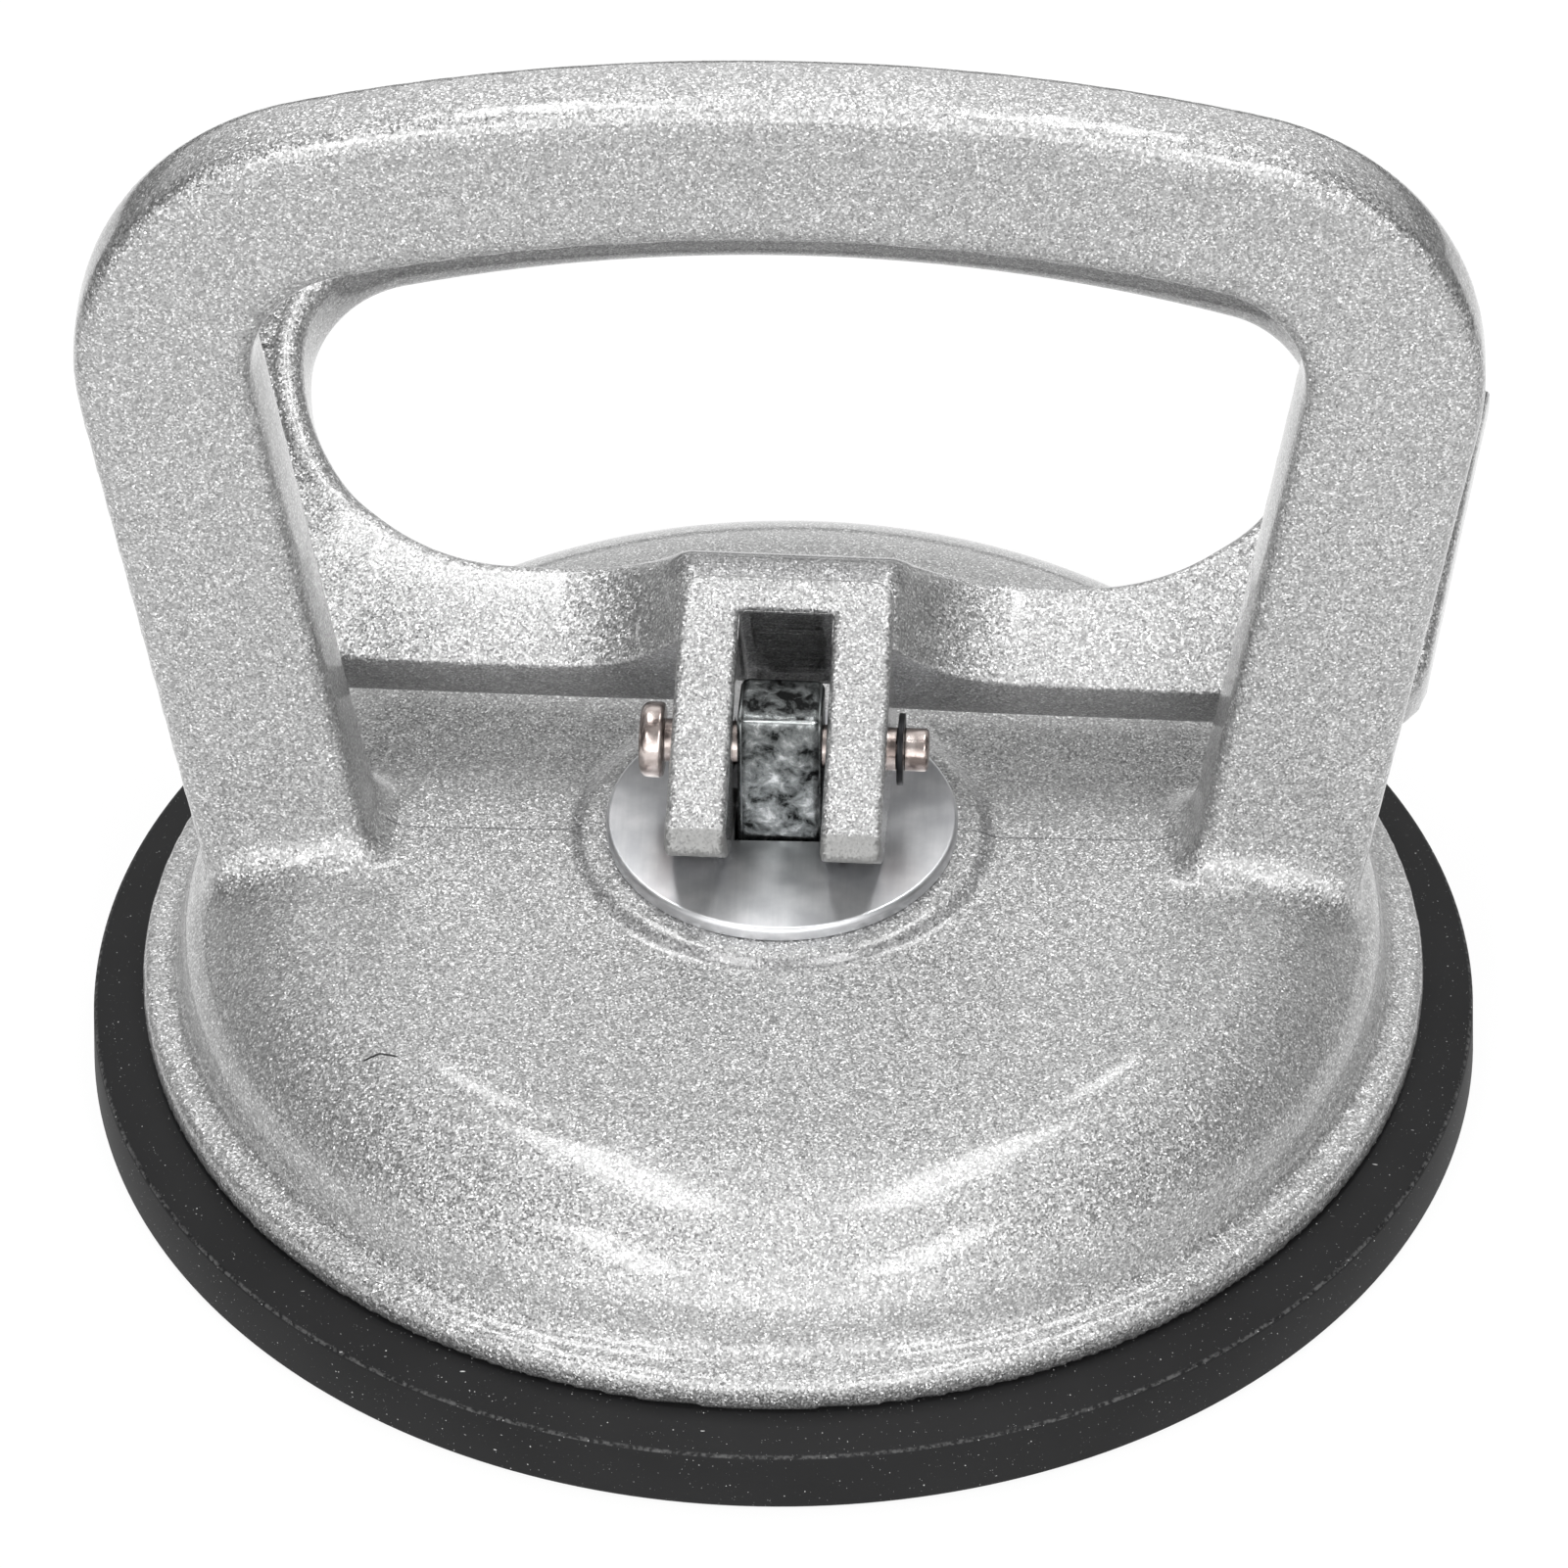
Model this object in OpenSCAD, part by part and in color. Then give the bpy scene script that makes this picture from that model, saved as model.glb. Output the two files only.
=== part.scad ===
// Single-cup suction lifter with a cast aluminium body, a fixed handle and a cam lever.
// Origin: centre of the rubber disc's resting face. +Z is up, +X runs along the pivot pin,
// and -Y is the side that the fork of the lever faces. The lever is drawn released.

/* [Rubber disc] */
// Diameter of the rubber disc
rubber_d = 117.6; // [117:0.2:140]
// Thickness of the disc under the casting's rim
rubber_t = 6.1; // [5.5:0.1:8]
// How far the disc's top falls from the casting's rim to the disc's edge
rubber_fall = 0.8; // [0.5:0.1:2]
// How much smaller the disc's radius is at its top edge than at its foot
rubber_draft = 0.3; // [0:0.1:1.5]
// Width of the sealing ring under the disc
seal_w = 12; // [8:0.5:20]
// Depth of the shallow hollow inside the sealing ring
seal_depth = 0.7; // [0.3:0.1:1.5]

/* [Insert plate] */
// Diameter of the steel plate moulded into the rubber
plate_d = 46; // [36:1:60]
// Thickness of the steel plate
plate_t = 2.5; // [1.5:0.25:4]
// Width of the rubber collar around the plate
collar_w = 3.5; // [2:0.5:6]
// Clearance between the plate's edge and the collar
collar_gap = 0.1; // [0.05:0.05:0.5]

/* [Casting] */
// Outer diameter of the casting's rim
rim_d = 108.4; // [100:0.2:108.4]
// Height of the rim's lip above the rubber
lip_h = 3; // [2.5:0.1:4]
// Radius of the lip's rounded outer edge
lip_edge_r = 0.8; // [0.5:0.1:2.4]
// Width of the shelf between the lip and the dome's side
lip_w = 3.1; // [2.6:0.1:5]
// Height of the dome's flat top above the floor
dome_z = 20.5; // [18.5:0.1:24]
// How far the shoulder reaches in from the dome's side
shoulder_w = 14.4; // [10:0.2:20]
// Height of the rounded shoulder
shoulder_h = 9.4; // [7:0.2:11]
// Wall thickness of the dome's top
dome_wall = 3.4; // [2.5:0.1:5]
// Wall thickness of the dome's side, where it stands on the rubber
side_wall = 4.4; // [3.5:0.1:6]
// Diameter of the raised seat for the washer
seat_d = 33.2; // [31:0.2:38]
// Height of the seat above the dome
seat_h = 0.75; // [0.4:0.05:1.5]

/* [Fixed handle] */
// Height of the handle's top above the floor
handle_top = 96.7; // [90:0.2:105]
// Radius of the handle's slightly arched top
crown_r = 162; // [120:1:250]
// Radius of the handle's outer corners
corner_r = 23.4; // [16:0.2:25]
// Distance from the middle to the centre of the outer corners
corner_x = 32.6; // [28:0.2:33.4]
// Lean of the legs' outer sides from upright
leg_lean = 8.7; // [4:0.1:9]
// Height of the grip bar
grip_h = 13.4; // [10:0.2:15]
// Radius of the handle opening's arched top
inner_crown_r = 144; // [120:2:260]
// Radius of the opening's corners
inner_corner_r = 9.5; // [7:0.5:13]
// Distance from the middle to the centre of the opening's corners
inner_corner_x = 30.8; // [28:0.2:33]
// Lean of the legs' inner sides from upright
inner_lean = 8.8; // [6:0.2:11]
// Thickness of the handle from front to back
handle_t = 8.8; // [7:0.2:9]
// Radius of the handle's rounded outer edges
handle_edge_r = 3; // [1.5:0.1:3.4]
// Radius of the rounded edges around the handle's opening
handle_inner_r = 1.4; // [0.8:0.1:3]
// Radius of the fillet where the legs meet the dome
foot_r = 3; // [1.5:0.1:4]

/* [Washer] */
// Diameter of the slotted washer
washer_d = 29.4; // [27:0.2:30.8]
// Thickness of the slotted washer
washer_t = 1.3; // [0.8:0.1:2]

/* [Plunger tang] */
// Width of the tang, along the pin
tang_w = 7; // [5:0.1:8]
// Thickness of the tang, across the pin
tang_t = 6; // [5:0.1:7]
// Height of the tang's top above the pin's centre
tang_over = 4.9; // [4:0.1:5.2]
// Radius of the tang's rounded edges
tang_edge_r = 0.9; // [0.4:0.1:1.5]
// Clearance around the tang in the slots of the washer and the casting
slot_gap = 0.4; // [0.3:0.05:0.6]
// Diameter of the stud that rivets the tang to the plate
stud_d = 4.8; // [3:0.1:5]
// Turn of tang, pin and lever about the upright axis, in the play of the slot
plunger_turn = -2; // [-2:0.1:2]

/* [Pivot pin] */
// Diameter of the pin
pin_d = 3.6; // [3:0.1:4.2]
// Radial running clearance of the pin in its bores
pin_gap = 0.05; // [0.03:0.01:0.08]
// Height of the pin's centre above the washer while the lever is released
pin_rise = 7.6; // [7:0.1:9]
// Diameter of the pin's head
head_d = 6.3; // [5:0.1:7]
// Thickness of the pin's head
head_t = 2; // [1.2:0.1:3]
// Free length of pin between the head and the fork, and between the fork and the clip
pin_float = 0.8; // [0.3:0.1:1.2]
// Length of pin beyond the retaining clip
pin_tail = 2; // [1:0.1:3]

/* [Retaining clip] */
// Thickness of the clip
clip_t = 0.5; // [0.4:0.05:0.8]
// Outer diameter of the clip
clip_d = 6; // [5.4:0.1:7.5]
// Depth of the clip's groove in the pin
groove_depth = 0.4; // [0.2:0.05:0.6]
// Clearance of the clip in its groove
clip_gap = 0.05; // [0.02:0.01:0.1]

/* [Cam lever] */
// Lean of the lever from upright while it is released
lever_lean = 60; // [55:1:62]
// Swing of the lever from released to locked
lever_swing = 40; // [36:1:40]
// Lift of the pin over that swing
lift = 2; // [1.2:0.1:2.6]
// Running clearance between the cam and the washer
cam_gap = 0.06; // [0.04:0.01:0.2]
// Distance from the pin to the top of the lever's grip
lever_top = 61; // [56:0.5:62]
// Radius of the lever's arched top
lever_crown_r = 154; // [120:2:250]
// Radius of the lever's outer corners
lever_corner_r = 20; // [16:0.5:23]
// Distance from the middle to the centre of the lever's outer corners
lever_corner_x = 37.6; // [34:0.2:38]
// Lean of the lever's outer sides
lever_side_lean = 10; // [6:0.5:13]
// Radius of the lever's lower corners
lever_low_r = 4; // [2:0.5:7]
// Distance from the pin to the lever's lower edge
wing_low = 7.3; // [6:0.1:9]
// Distance from the pin to the bottom of the lever's opening
opening_low = 16.8; // [14:0.1:18]
// Distance from the pin to the top of the lever's opening
opening_top = 49; // [45:0.5:50]
// Half the width of the lever's opening
opening_half_w = 43; // [38:0.2:44]
// Radius of the opening's upper corners
opening_corner_r = 9.5; // [6:0.5:12]
// Radius of the opening's large lower corners
opening_low_r = 19.2; // [12:0.2:20]
// Distance from the pin's plane back to the lever's front face
lever_back = 3.5; // [3.2:0.1:4.4]
// Thickness of the lever's plate
lever_t = 8.6; // [6:0.2:8.6]
// Radius of the lever's rounded edges
lever_edge_r = 2.4; // [1.2:0.1:2.8]
// Half the width over which the plate sweeps forward to the hub
sweep_x = 20; // [17:0.5:22]
// Radius of that sweep
sweep_r = 12.4; // [12:0.2:20]

/* [Fork of the lever] */
// Width of the fork over both prongs
fork_w = 17.8; // [16:0.2:20]
// Width of the fork's slot
fork_slot_w = 7.8; // [7.4:0.1:9]
// Distance from the pin's plane forward to the fork's face
fork_front = 4.5; // [4:0.1:5]
// Distance from the pin to the top edge of the fork's face
fork_top = 13.3; // [12:0.1:14]
// Distance from the pin to the top of the fork's slot
fork_slot_top = 10.2; // [8:0.1:11]
// Radius of the fork's upright edges
fork_edge_r = 1.1; // [0.5:0.1:1.6]
// Radius of the prongs' toes
toe_r = 1.2; // [0.6:0.1:1.6]

/* [Hidden] */
$fn = 96;

cut = 1;                       // overshoot of cutting shapes
bite = 0.3;                    // how far one casting form sinks into another
edge_steps = 3;                // steps in a quarter of a rounded edge
arc_steps = 16;                // steps in an outline's quarter arc
side_draft = 0.4;              // the dome's side leans in by this much
cavity_step = 2;               // the cavity's shoulder is narrower than the dome's by this much
cavity_side_h = 1;             // least upright height of the cavity's side
outer_fade = 0.6;              // share by which the foot's fillet shrinks on its outer side
rubber_edge = 0.4;             // chamfer around the top of the rubber
rivet_recess = 0.3;            // the stud ends this far above the plate's underside
pin_chamfer = 0.4;             // chamfer of the pin's ends
clip_mouth = 0.8;              // width of the clip's mouth, as a share of the groove's diameter
relief_w = 1;                  // width of the two reliefs inside the clip
relief_h = 1.45;               // depth of those reliefs
relief_turn = 50;              // turn of each relief from upright
swing_gap = 0.6;               // room around the tang while the lever swings
fork_bevel = 2;                // depth of the bevel over the fork's face

rubber_r = rubber_d / 2;
rim_r = rim_d / 2;
collar_top = rubber_t + plate_t;
pocket_r = plate_d / 2 + collar_gap;
side_r = rim_r - lip_w;
shelf_z = rubber_t + lip_h;
seat_z = dome_z + seat_h;
washer_z = seat_z + washer_t;
washer_edge = washer_t / 4;
shoulder_r = side_r - shoulder_w;
shoulder_rx = shoulder_w - side_draft;
cavity_r = side_r - side_wall;
cavity_z = dome_z - dome_wall;
cavity_w = shoulder_w - cavity_step;
cavity_h = min(shoulder_h, cavity_z - rubber_t - cavity_side_h);
leg_z = shelf_z + 1;           // the legs end here, inside the dome's wall
slot_w = tang_w + 2 * slot_gap;
slot_t = tang_t + 2 * slot_gap;
pin_z = washer_z + pin_rise;
bore_d = pin_d + 2 * pin_gap;
tang_h = pin_z + tang_over - collar_top;
stud_len = plate_t - rivet_recess;
cam_r0 = pin_rise - cam_gap;
cam_rate = lift / (lever_swing * PI / 180);
lock_lean = lever_lean - lever_swing;
fork_half = fork_w / 2;
half_slot = fork_slot_w / 2;
lever_rear = lever_back + lever_t;
hub_rear = lever_rear - bite;
head_x = -fork_half - pin_float;
clip_x = fork_half + pin_float;
pin_end_x = clip_x + clip_t + clip_gap + pin_tail;
groove_d = pin_d - 2 * groove_depth;

// Lever outline: centre of the large lower inner corner, upper corner, lower outer corner
low_x = opening_half_w - opening_low_r;
low_z = opening_low + opening_low_r;
side_turn = crown_turn(lever_crown_r, lever_corner_r, lever_corner_x);
side_z = lever_top - lever_crown_r + (lever_crown_r - lever_corner_r) * cos(side_turn);
side_px = lever_corner_x + lever_corner_r * cos(lever_side_lean);
side_pz = side_z - lever_corner_r * sin(lever_side_lean);
foot_cz = wing_low + lever_low_r;
foot_cx = side_px - (side_pz - foot_cz) * tan(lever_side_lean) - lever_low_r / cos(lever_side_lean);
foot_d = norm([foot_cx - low_x, foot_cz - low_z]);
foot_a = atan2(foot_cz - low_z, foot_cx - low_x);
foot_a1 = atan2(foot_cz - lever_low_r * sin(lever_side_lean) - low_z,
                foot_cx + lever_low_r * cos(lever_side_lean) - low_x);
foot_a2 = atan2(wing_low - low_z, foot_cx - low_x);

// Points along an arc, from angle a0 to angle a1
function arc(cx, cy, r, a0, a1, n = arc_steps) =
    [for (i = [0:n]) let (a = a0 + (a1 - a0) * i / n) [cx + r * cos(a), cy + r * sin(a)]];
// Points along a quarter of an ellipse
function ellipse_arc(cx, cy, rx, ry, a0, a1, n = arc_steps) =
    [for (i = [0:n]) let (a = a0 + (a1 - a0) * i / n) [cx + rx * cos(a), cy + ry * sin(a)]];
function reversed(list) = [for (i = [len(list) - 1:-1:0]) list[i]];
function tail(list) = [for (i = [1:len(list) - 1]) list[i]];
function mirrored(p) = [-p[0], p[1]];

// Section between an outer and an inner outline point, with rounded edges.
// y0 and y1 are its front and back, r and q the roundings at its outer and its inner side.
function section(outer, inner, y0, y1, r, q) =
    let (w = norm(outer - inner) / 2, e = (outer - inner) / (2 * w), m = (outer + inner) / 2,
         t = (y1 - y0) / 2, c = (y1 + y0) / 2)
    [for (k = [0:3], j = [0:edge_steps])
        let (a = 90 * (k + j / edge_steps), out = k == 0 || k == 3, s = out ? r : q,
             u = (w - s) * (out ? 1 : -1) + s * cos(a),
             v = c + (t - s) * (k < 2 ? 1 : -1) + s * sin(a))
        [m[0] + e[0] * u, v, m[1] + e[1] * u]];

// Solid through a row of sections, closed on itself where loop is true
module loft(sections, loop = false) {
    n = len(sections[0]);
    rows = len(sections);
    spans = loop ? rows : rows - 1;
    polyhedron(
        points = [for (s = sections) for (p = s) p],
        faces = concat(
            [for (i = [0:spans - 1], j = [0:n - 1])
                let (a = i * n, b = ((i + 1) % rows) * n, k = (j + 1) % n)
                [a + j, a + k, b + k, b + j]],
            loop ? [] : [[for (j = [n - 1:-1:0]) j], [for (j = [0:n - 1]) (rows - 1) * n + j]]),
        convexity = 8);
}

// ---------------------------------------------------------------- fixed handle outline

function crown_turn(r, rc, x) = asin(x / (r - rc));
// Lower end of a corner: the point where the leaning side begins
function side_start(top, r, rc, x, lean) =
    [x + rc * cos(lean), top - r + (r - rc) * cos(crown_turn(r, rc, x)) - rc * sin(lean)];
// Half of an arched outline from its top middle: crown, corner, then a leaning side
function arch_point(top, r, rc, x, lean, part, f) =
    let (a = crown_turn(r, rc, x), cz = top - r + (r - rc) * cos(a),
         p = side_start(top, r, rc, x, lean))
    part == 0 ? [r * sin(a * f), top - r + r * cos(a * f)]
    : part == 1 ? let (g = 90 - a + (-lean - 90 + a) * f) [x + rc * cos(g), cz + rc * sin(g)]
    : [p[0] - (p[1] - leg_z) * tan(lean) * f, p[1] + (leg_z - p[1]) * f];

module handle() {
    steps = [5, 9, 2];
    half = [for (part = [0:2], i = [(part == 0 ? 0 : 1):steps[part]])
        let (f = i / steps[part])
        [arch_point(handle_top, crown_r, corner_r, corner_x, leg_lean, part, f),
         arch_point(handle_top - grip_h, inner_crown_r, inner_corner_r, inner_corner_x,
                    inner_lean, part, f)]];
    rows = concat([for (h = reversed(tail(half))) [mirrored(h[0]), mirrored(h[1])]], half);
    loft([for (h = rows)
        section(h[0], h[1], -handle_t / 2, handle_t / 2, handle_edge_r, handle_inner_r)]);
}

// ---------------------------------------------------------------- fillets of the legs

// Height of the dome at a distance r from the middle
function dome_height(r) =
    let (k = min(0.999, max(0, (r - shoulder_r) / shoulder_rx)))
    dome_z - shoulder_h * (1 - sqrt(1 - k * k));

// Point of a leg's outline at height z. k holds the place between its inner and outer edge,
// the side (1 back, -1 front) and the direction that the outline faces there.
function leg_point(k, z) =
    let (o = side_start(handle_top, crown_r, corner_r, corner_x, leg_lean),
         n = side_start(handle_top - grip_h, inner_crown_r, inner_corner_r, inner_corner_x,
                        inner_lean),
         x1 = o[0] - (o[1] - z) * tan(leg_lean) - handle_edge_r,
         x0 = n[0] - (n[1] - z) * tan(inner_lean) + handle_inner_r,
         s = handle_inner_r + (handle_edge_r - handle_inner_r) * k[0])
    [x0 + (x1 - x0) * k[0] + s * cos(k[2]), k[1] * (handle_t / 2 - s) + s * sin(k[2])];

// Point of the fillet, t degrees down its hollow
function foot_point(k, t) =
    let (r = foot_r * (1 - outer_fade * max(0, cos(k[2]))), out = [cos(k[2]), sin(k[2])],
         p = leg_point(k, dome_height(norm(leg_point(k, dome_z + r))) + r) + out * r * (1 - cos(t)),
         z = dome_height(norm(p)) + r * (1 - sin(t)),
         q = leg_point(k, z) + out * r * (1 - cos(t)))
    [q[0], q[1], dome_height(norm(q)) + r * (1 - sin(t))];

module foot_fillet() {
    side_steps = 6;
    turn_steps = 4;
    fillet_steps = 6;
    rim = concat(
        [for (i = [0:turn_steps]) [1, 1, 90 * i / turn_steps]],
        [for (i = [1:side_steps - 1]) [1 - i / side_steps, 1, 90]],
        [for (i = [0:turn_steps]) [0, 1, 90 + 90 * i / turn_steps]],
        [for (i = [0:turn_steps]) [0, -1, 180 + 90 * i / turn_steps]],
        [for (i = [1:side_steps - 1]) [i / side_steps, -1, 270]],
        [for (i = [0:turn_steps]) [1, -1, 270 + 90 * i / turn_steps]]);
    n = len(rim);
    rings = concat(
        [[for (k = rim) let (p = foot_point(k, 0))
            [p[0] - bite * cos(k[2]), p[1] - bite * sin(k[2]), p[2] + bite]]],
        [for (j = [0:fillet_steps]) [for (k = rim)
            foot_point(k, 90 * j / fillet_steps) + [0, 0, j == fillet_steps ? bite / 6 : 0]]],
        [[for (k = rim) let (p = foot_point(k, 90))
            [p[0] + bite * cos(k[2]), p[1] + bite * sin(k[2]), p[2] - bite]]]);
    last = len(rings);
    mid = (rings[0][0] + rings[0][round(n / 2)]) / 2;
    polyhedron(
        points = concat([for (ring = rings) for (p = ring) p],
                        [[mid[0], 0, mid[2]], [mid[0], 0, shelf_z + shoulder_h / 2]]),
        faces = concat(
            [for (i = [0:last - 2], j = [0:n - 1])
                let (a = i * n, b = a + n, k = (j + 1) % n) [a + j, a + k, b + k, b + j]],
            [for (j = [0:n - 1]) [last * n, (j + 1) % n, j]],
            [for (j = [0:n - 1]) let (b = (last - 1) * n) [last * n + 1, b + j, b + (j + 1) % n]]),
        convexity = 6);
}

// ---------------------------------------------------------------- base casting

module dome_solid() {
    rotate_extrude()
        polygon(concat(
            [[0, rubber_t], [0, seat_z], [seat_d / 2, seat_z], [seat_d / 2 + seat_h, dome_z]],
            reversed(ellipse_arc(shoulder_r, dome_z - shoulder_h, shoulder_rx, shoulder_h, 0, 90)),
            [[side_r, shelf_z]],
            reversed(arc(rim_r - lip_edge_r, shelf_z - lip_edge_r, lip_edge_r, 0, 90, 6)),
            [[rim_r, rubber_t]]));
}

module dome_cavity() {
    rotate_extrude()
        polygon(concat(
            [[0, rubber_t - cut], [0, cavity_z]],
            reversed(ellipse_arc(cavity_r - cavity_w, cavity_z - cavity_h,
                                 cavity_w, cavity_h, 0, 90)),
            [[cavity_r, rubber_t - cut]]));
}

module upright_slot() {
    translate([-slot_w / 2, -slot_t / 2, cavity_z - cut])
        cube([slot_w, slot_t, washer_z - cavity_z + 2 * cut]);
}

module base_casting() {
    color("silver")
        difference() {
            union() {
                dome_solid();
                handle();
                for (side = [0, 1])
                    mirror([side, 0, 0])
                        foot_fillet();
            }
            dome_cavity();
            upright_slot();
        }
}

// ---------------------------------------------------------------- rubber disc and insert plate

module rubber_disc() {
    color([0.2, 0.2, 0.21])
        rotate_extrude()
            polygon([
                [0, seal_depth], [rubber_r - seal_w - seal_depth, seal_depth],
                [rubber_r - seal_w, 0], [rubber_r, 0],
                [rubber_r - rubber_draft, rubber_t - rubber_fall - rubber_edge],
                [rubber_r - rubber_draft - rubber_edge, rubber_t - rubber_fall],
                [rim_r, rubber_t],
                [pocket_r + collar_w + plate_t / 2, rubber_t], [pocket_r + collar_w, collar_top],
                [pocket_r, collar_top], [pocket_r, rubber_t], [0, rubber_t]]);
}

module insert_plate() {
    color("lightsteelblue")
        translate([0, 0, rubber_t])
            difference() {
                cylinder(d = plate_d, h = plate_t);
                translate([0, 0, -cut])
                    cylinder(d = stud_d + 2 * pin_gap, h = plate_t + 2 * cut);
            }
}

// ---------------------------------------------------------------- plunger

// Places a shape that is drawn around the pin, with the lever upright
module at_pin() {
    rotate([0, 0, plunger_turn])
        translate([0, 0, pin_z])
            children();
}

// Cylinder along the pin's axis, from x0 to x1
module along_pin(d, x0, x1) {
    translate([x0, 0, 0])
        rotate([0, 90, 0])
            cylinder(d = d, h = x1 - x0);
}

module rounded_rect(w, h, r) {
    polygon(concat(
        arc(w / 2 - r, h / 2 - r, r, 0, 90, 6), arc(r - w / 2, h / 2 - r, r, 90, 180, 6),
        arc(r - w / 2, r - h / 2, r, 180, 270, 6), arc(w / 2 - r, r - h / 2, r, 270, 360, 6)));
}

module plunger_tang() {
    color("lightslategray")
        difference() {
            union() {
                rotate([0, 0, plunger_turn])
                    translate([0, 0, collar_top])
                        intersection() {
                            linear_extrude(height = tang_h)
                                rounded_rect(tang_w, tang_t, tang_edge_r);
                            translate([0, 0, tang_h / 2 - tang_edge_r])
                                rotate([90, 0, 0])
                                    linear_extrude(height = 2 * tang_t, center = true)
                                        rounded_rect(tang_w, tang_h + 2 * tang_edge_r, tang_edge_r);
                        }
                translate([0, 0, collar_top - stud_len])
                    cylinder(d = stud_d, h = stud_len + bite);
            }
            at_pin()
                along_pin(bore_d, -tang_w, tang_w);
        }
}

module slotted_washer() {
    color("gainsboro")
        difference() {
            translate([0, 0, seat_z])
                rotate_extrude()
                    polygon([[0, 0], [washer_d / 2, 0], [washer_d / 2, washer_t - washer_edge],
                             [washer_d / 2 - washer_edge, washer_t], [0, washer_t]]);
            upright_slot();
        }
}

// ---------------------------------------------------------------- pin and clip

module pivot_pin() {
    color("rosybrown")
        at_pin()
            difference() {
                rotate([0, 90, 0])
                    rotate_extrude()
                        polygon([
                            [0, head_x - head_t], [head_d / 2 - pin_chamfer, head_x - head_t],
                            [head_d / 2, head_x - head_t + pin_chamfer],
                            [head_d / 2, head_x - pin_chamfer / 2],
                            [head_d / 2 - pin_chamfer / 2, head_x], [pin_d / 2, head_x],
                            [pin_d / 2, pin_end_x - pin_chamfer], [pin_d / 2 - pin_chamfer, pin_end_x],
                            [0, pin_end_x]]);
                difference() {
                    along_pin(pin_d + cut, clip_x - clip_gap, clip_x + clip_t + clip_gap);
                    along_pin(groove_d, clip_x - cut, clip_x + clip_t + cut);
                }
            }
}

module retaining_clip() {
    mouth = groove_d * clip_mouth;
    color([0.12, 0.12, 0.13])
        at_pin()
            difference() {
                along_pin(clip_d, clip_x, clip_x + clip_t);
                along_pin(groove_d + 2 * clip_gap, clip_x - cut, clip_x + clip_t + cut);
                for (a = [-relief_turn, relief_turn])
                    rotate([a, 0, 0])
                        translate([clip_x - cut, -relief_w / 2, groove_d / 4])
                            cube([clip_t + 2 * cut, relief_w, relief_h]);
                translate([clip_x - cut, -mouth / 2, -clip_d])
                    cube([clip_t + 2 * cut, mouth, clip_d]);
            }
}

// ---------------------------------------------------------------- cam lever

// The lever is drawn upright around the pin: Z along the lever, +Y to its back.

// Outer outline below the upper corners, met by a ray from the centre of the lower inner corner
function ray_length(a) =
    a > foot_a1 ? (side_px - low_x - (side_pz - low_z) * tan(lever_side_lean))
                  / (cos(a) - sin(a) * tan(lever_side_lean))
    : a < foot_a2 ? (wing_low - low_z) / sin(a)
    : foot_d * cos(a - foot_a) + sqrt(pow(lever_low_r, 2) - pow(foot_d * sin(a - foot_a), 2));

// How far the plate's front face comes forward at a distance x from the middle
function sweep(x) =
    let (d = max(0, sweep_x - max(abs(x), fork_half - bite))) sweep_r - sqrt(sweep_r * sweep_r - d * d);

function lever_half() =
    let (inner_x = opening_half_w - opening_corner_r, inner_r = lever_crown_r,
         inner_turn = crown_turn(inner_r, opening_corner_r, inner_x),
         inner_z = opening_top - inner_r + (inner_r - opening_corner_r) * cos(inner_turn),
         crown_n = 5, corner_n = 9, low_n = 14, bar_n = 10)
    concat(
        [for (i = [0:crown_n]) let (f = i / crown_n)
            [[lever_crown_r * sin(side_turn * f),
              lever_top - lever_crown_r + lever_crown_r * cos(side_turn * f)],
             [inner_r * sin(inner_turn * f), opening_top - inner_r + inner_r * cos(inner_turn * f)]]],
        [for (i = [1:corner_n])
            let (f = 1 - i / corner_n, a = (90 - side_turn) * f, b = (90 - inner_turn) * f)
            [[lever_corner_x + lever_corner_r * cos(a), side_z + lever_corner_r * sin(a)],
             [inner_x + opening_corner_r * cos(b), inner_z + opening_corner_r * sin(b)]]],
        [for (i = [0:low_n])
            let (a = -90 * i / low_n, t = ray_length(a))
            [[low_x + t * cos(a), low_z + t * sin(a)],
             [low_x + opening_low_r * cos(a), low_z + opening_low_r * sin(a)]]],
        [for (i = [0:bar_n]) let (x = sweep_x * (1 - i / bar_n)) [[x, wing_low], [x, opening_low]]]);

module lever_plate() {
    half = lever_half();
    left = [for (i = [len(half) - 2:-1:1]) [mirrored(half[i][0]), mirrored(half[i][1])]];
    rows = concat(half, left);
    loft([for (h = rows)
            section(h[0], h[1],
                    lever_back - (h[0][1] == wing_low ? sweep(h[0][0]) : 0), lever_rear,
                    lever_edge_r, lever_edge_r)],
         loop = true);
}

// The cam: its distance from the pin grows evenly with the lever's turn
function cam_point(turn) =
    let (lean = lever_lean - turn, r = cam_r0 + cam_rate * turn * PI / 180)
    [r * sin(lean) - cam_rate * cos(lean), -r * cos(lean) - cam_rate * sin(lean)];

module fork_profile() {
    cam_steps = 16;
    rest = cam_point(0);
    heel_z = rest[1] + (hub_rear - rest[0]) * tan(lever_lean);
    last = cam_point(lever_swing);
    toe_y = toe_r - fork_front;
    toe_z = last[1] - (last[0] - toe_y) * tan(lock_lean) + toe_r / cos(lock_lean);
    polygon(concat(
        [for (i = [0:cam_steps]) cam_point(lever_swing * i / cam_steps)],
        arc(toe_y, toe_z, toe_r, 270 + lock_lean, 180, 5),
        [[-fork_front, fork_top], [fork_bevel - fork_front, opening_low - bite],
         [hub_rear, opening_low - bite], [hub_rear, heel_z]]));
}

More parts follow.
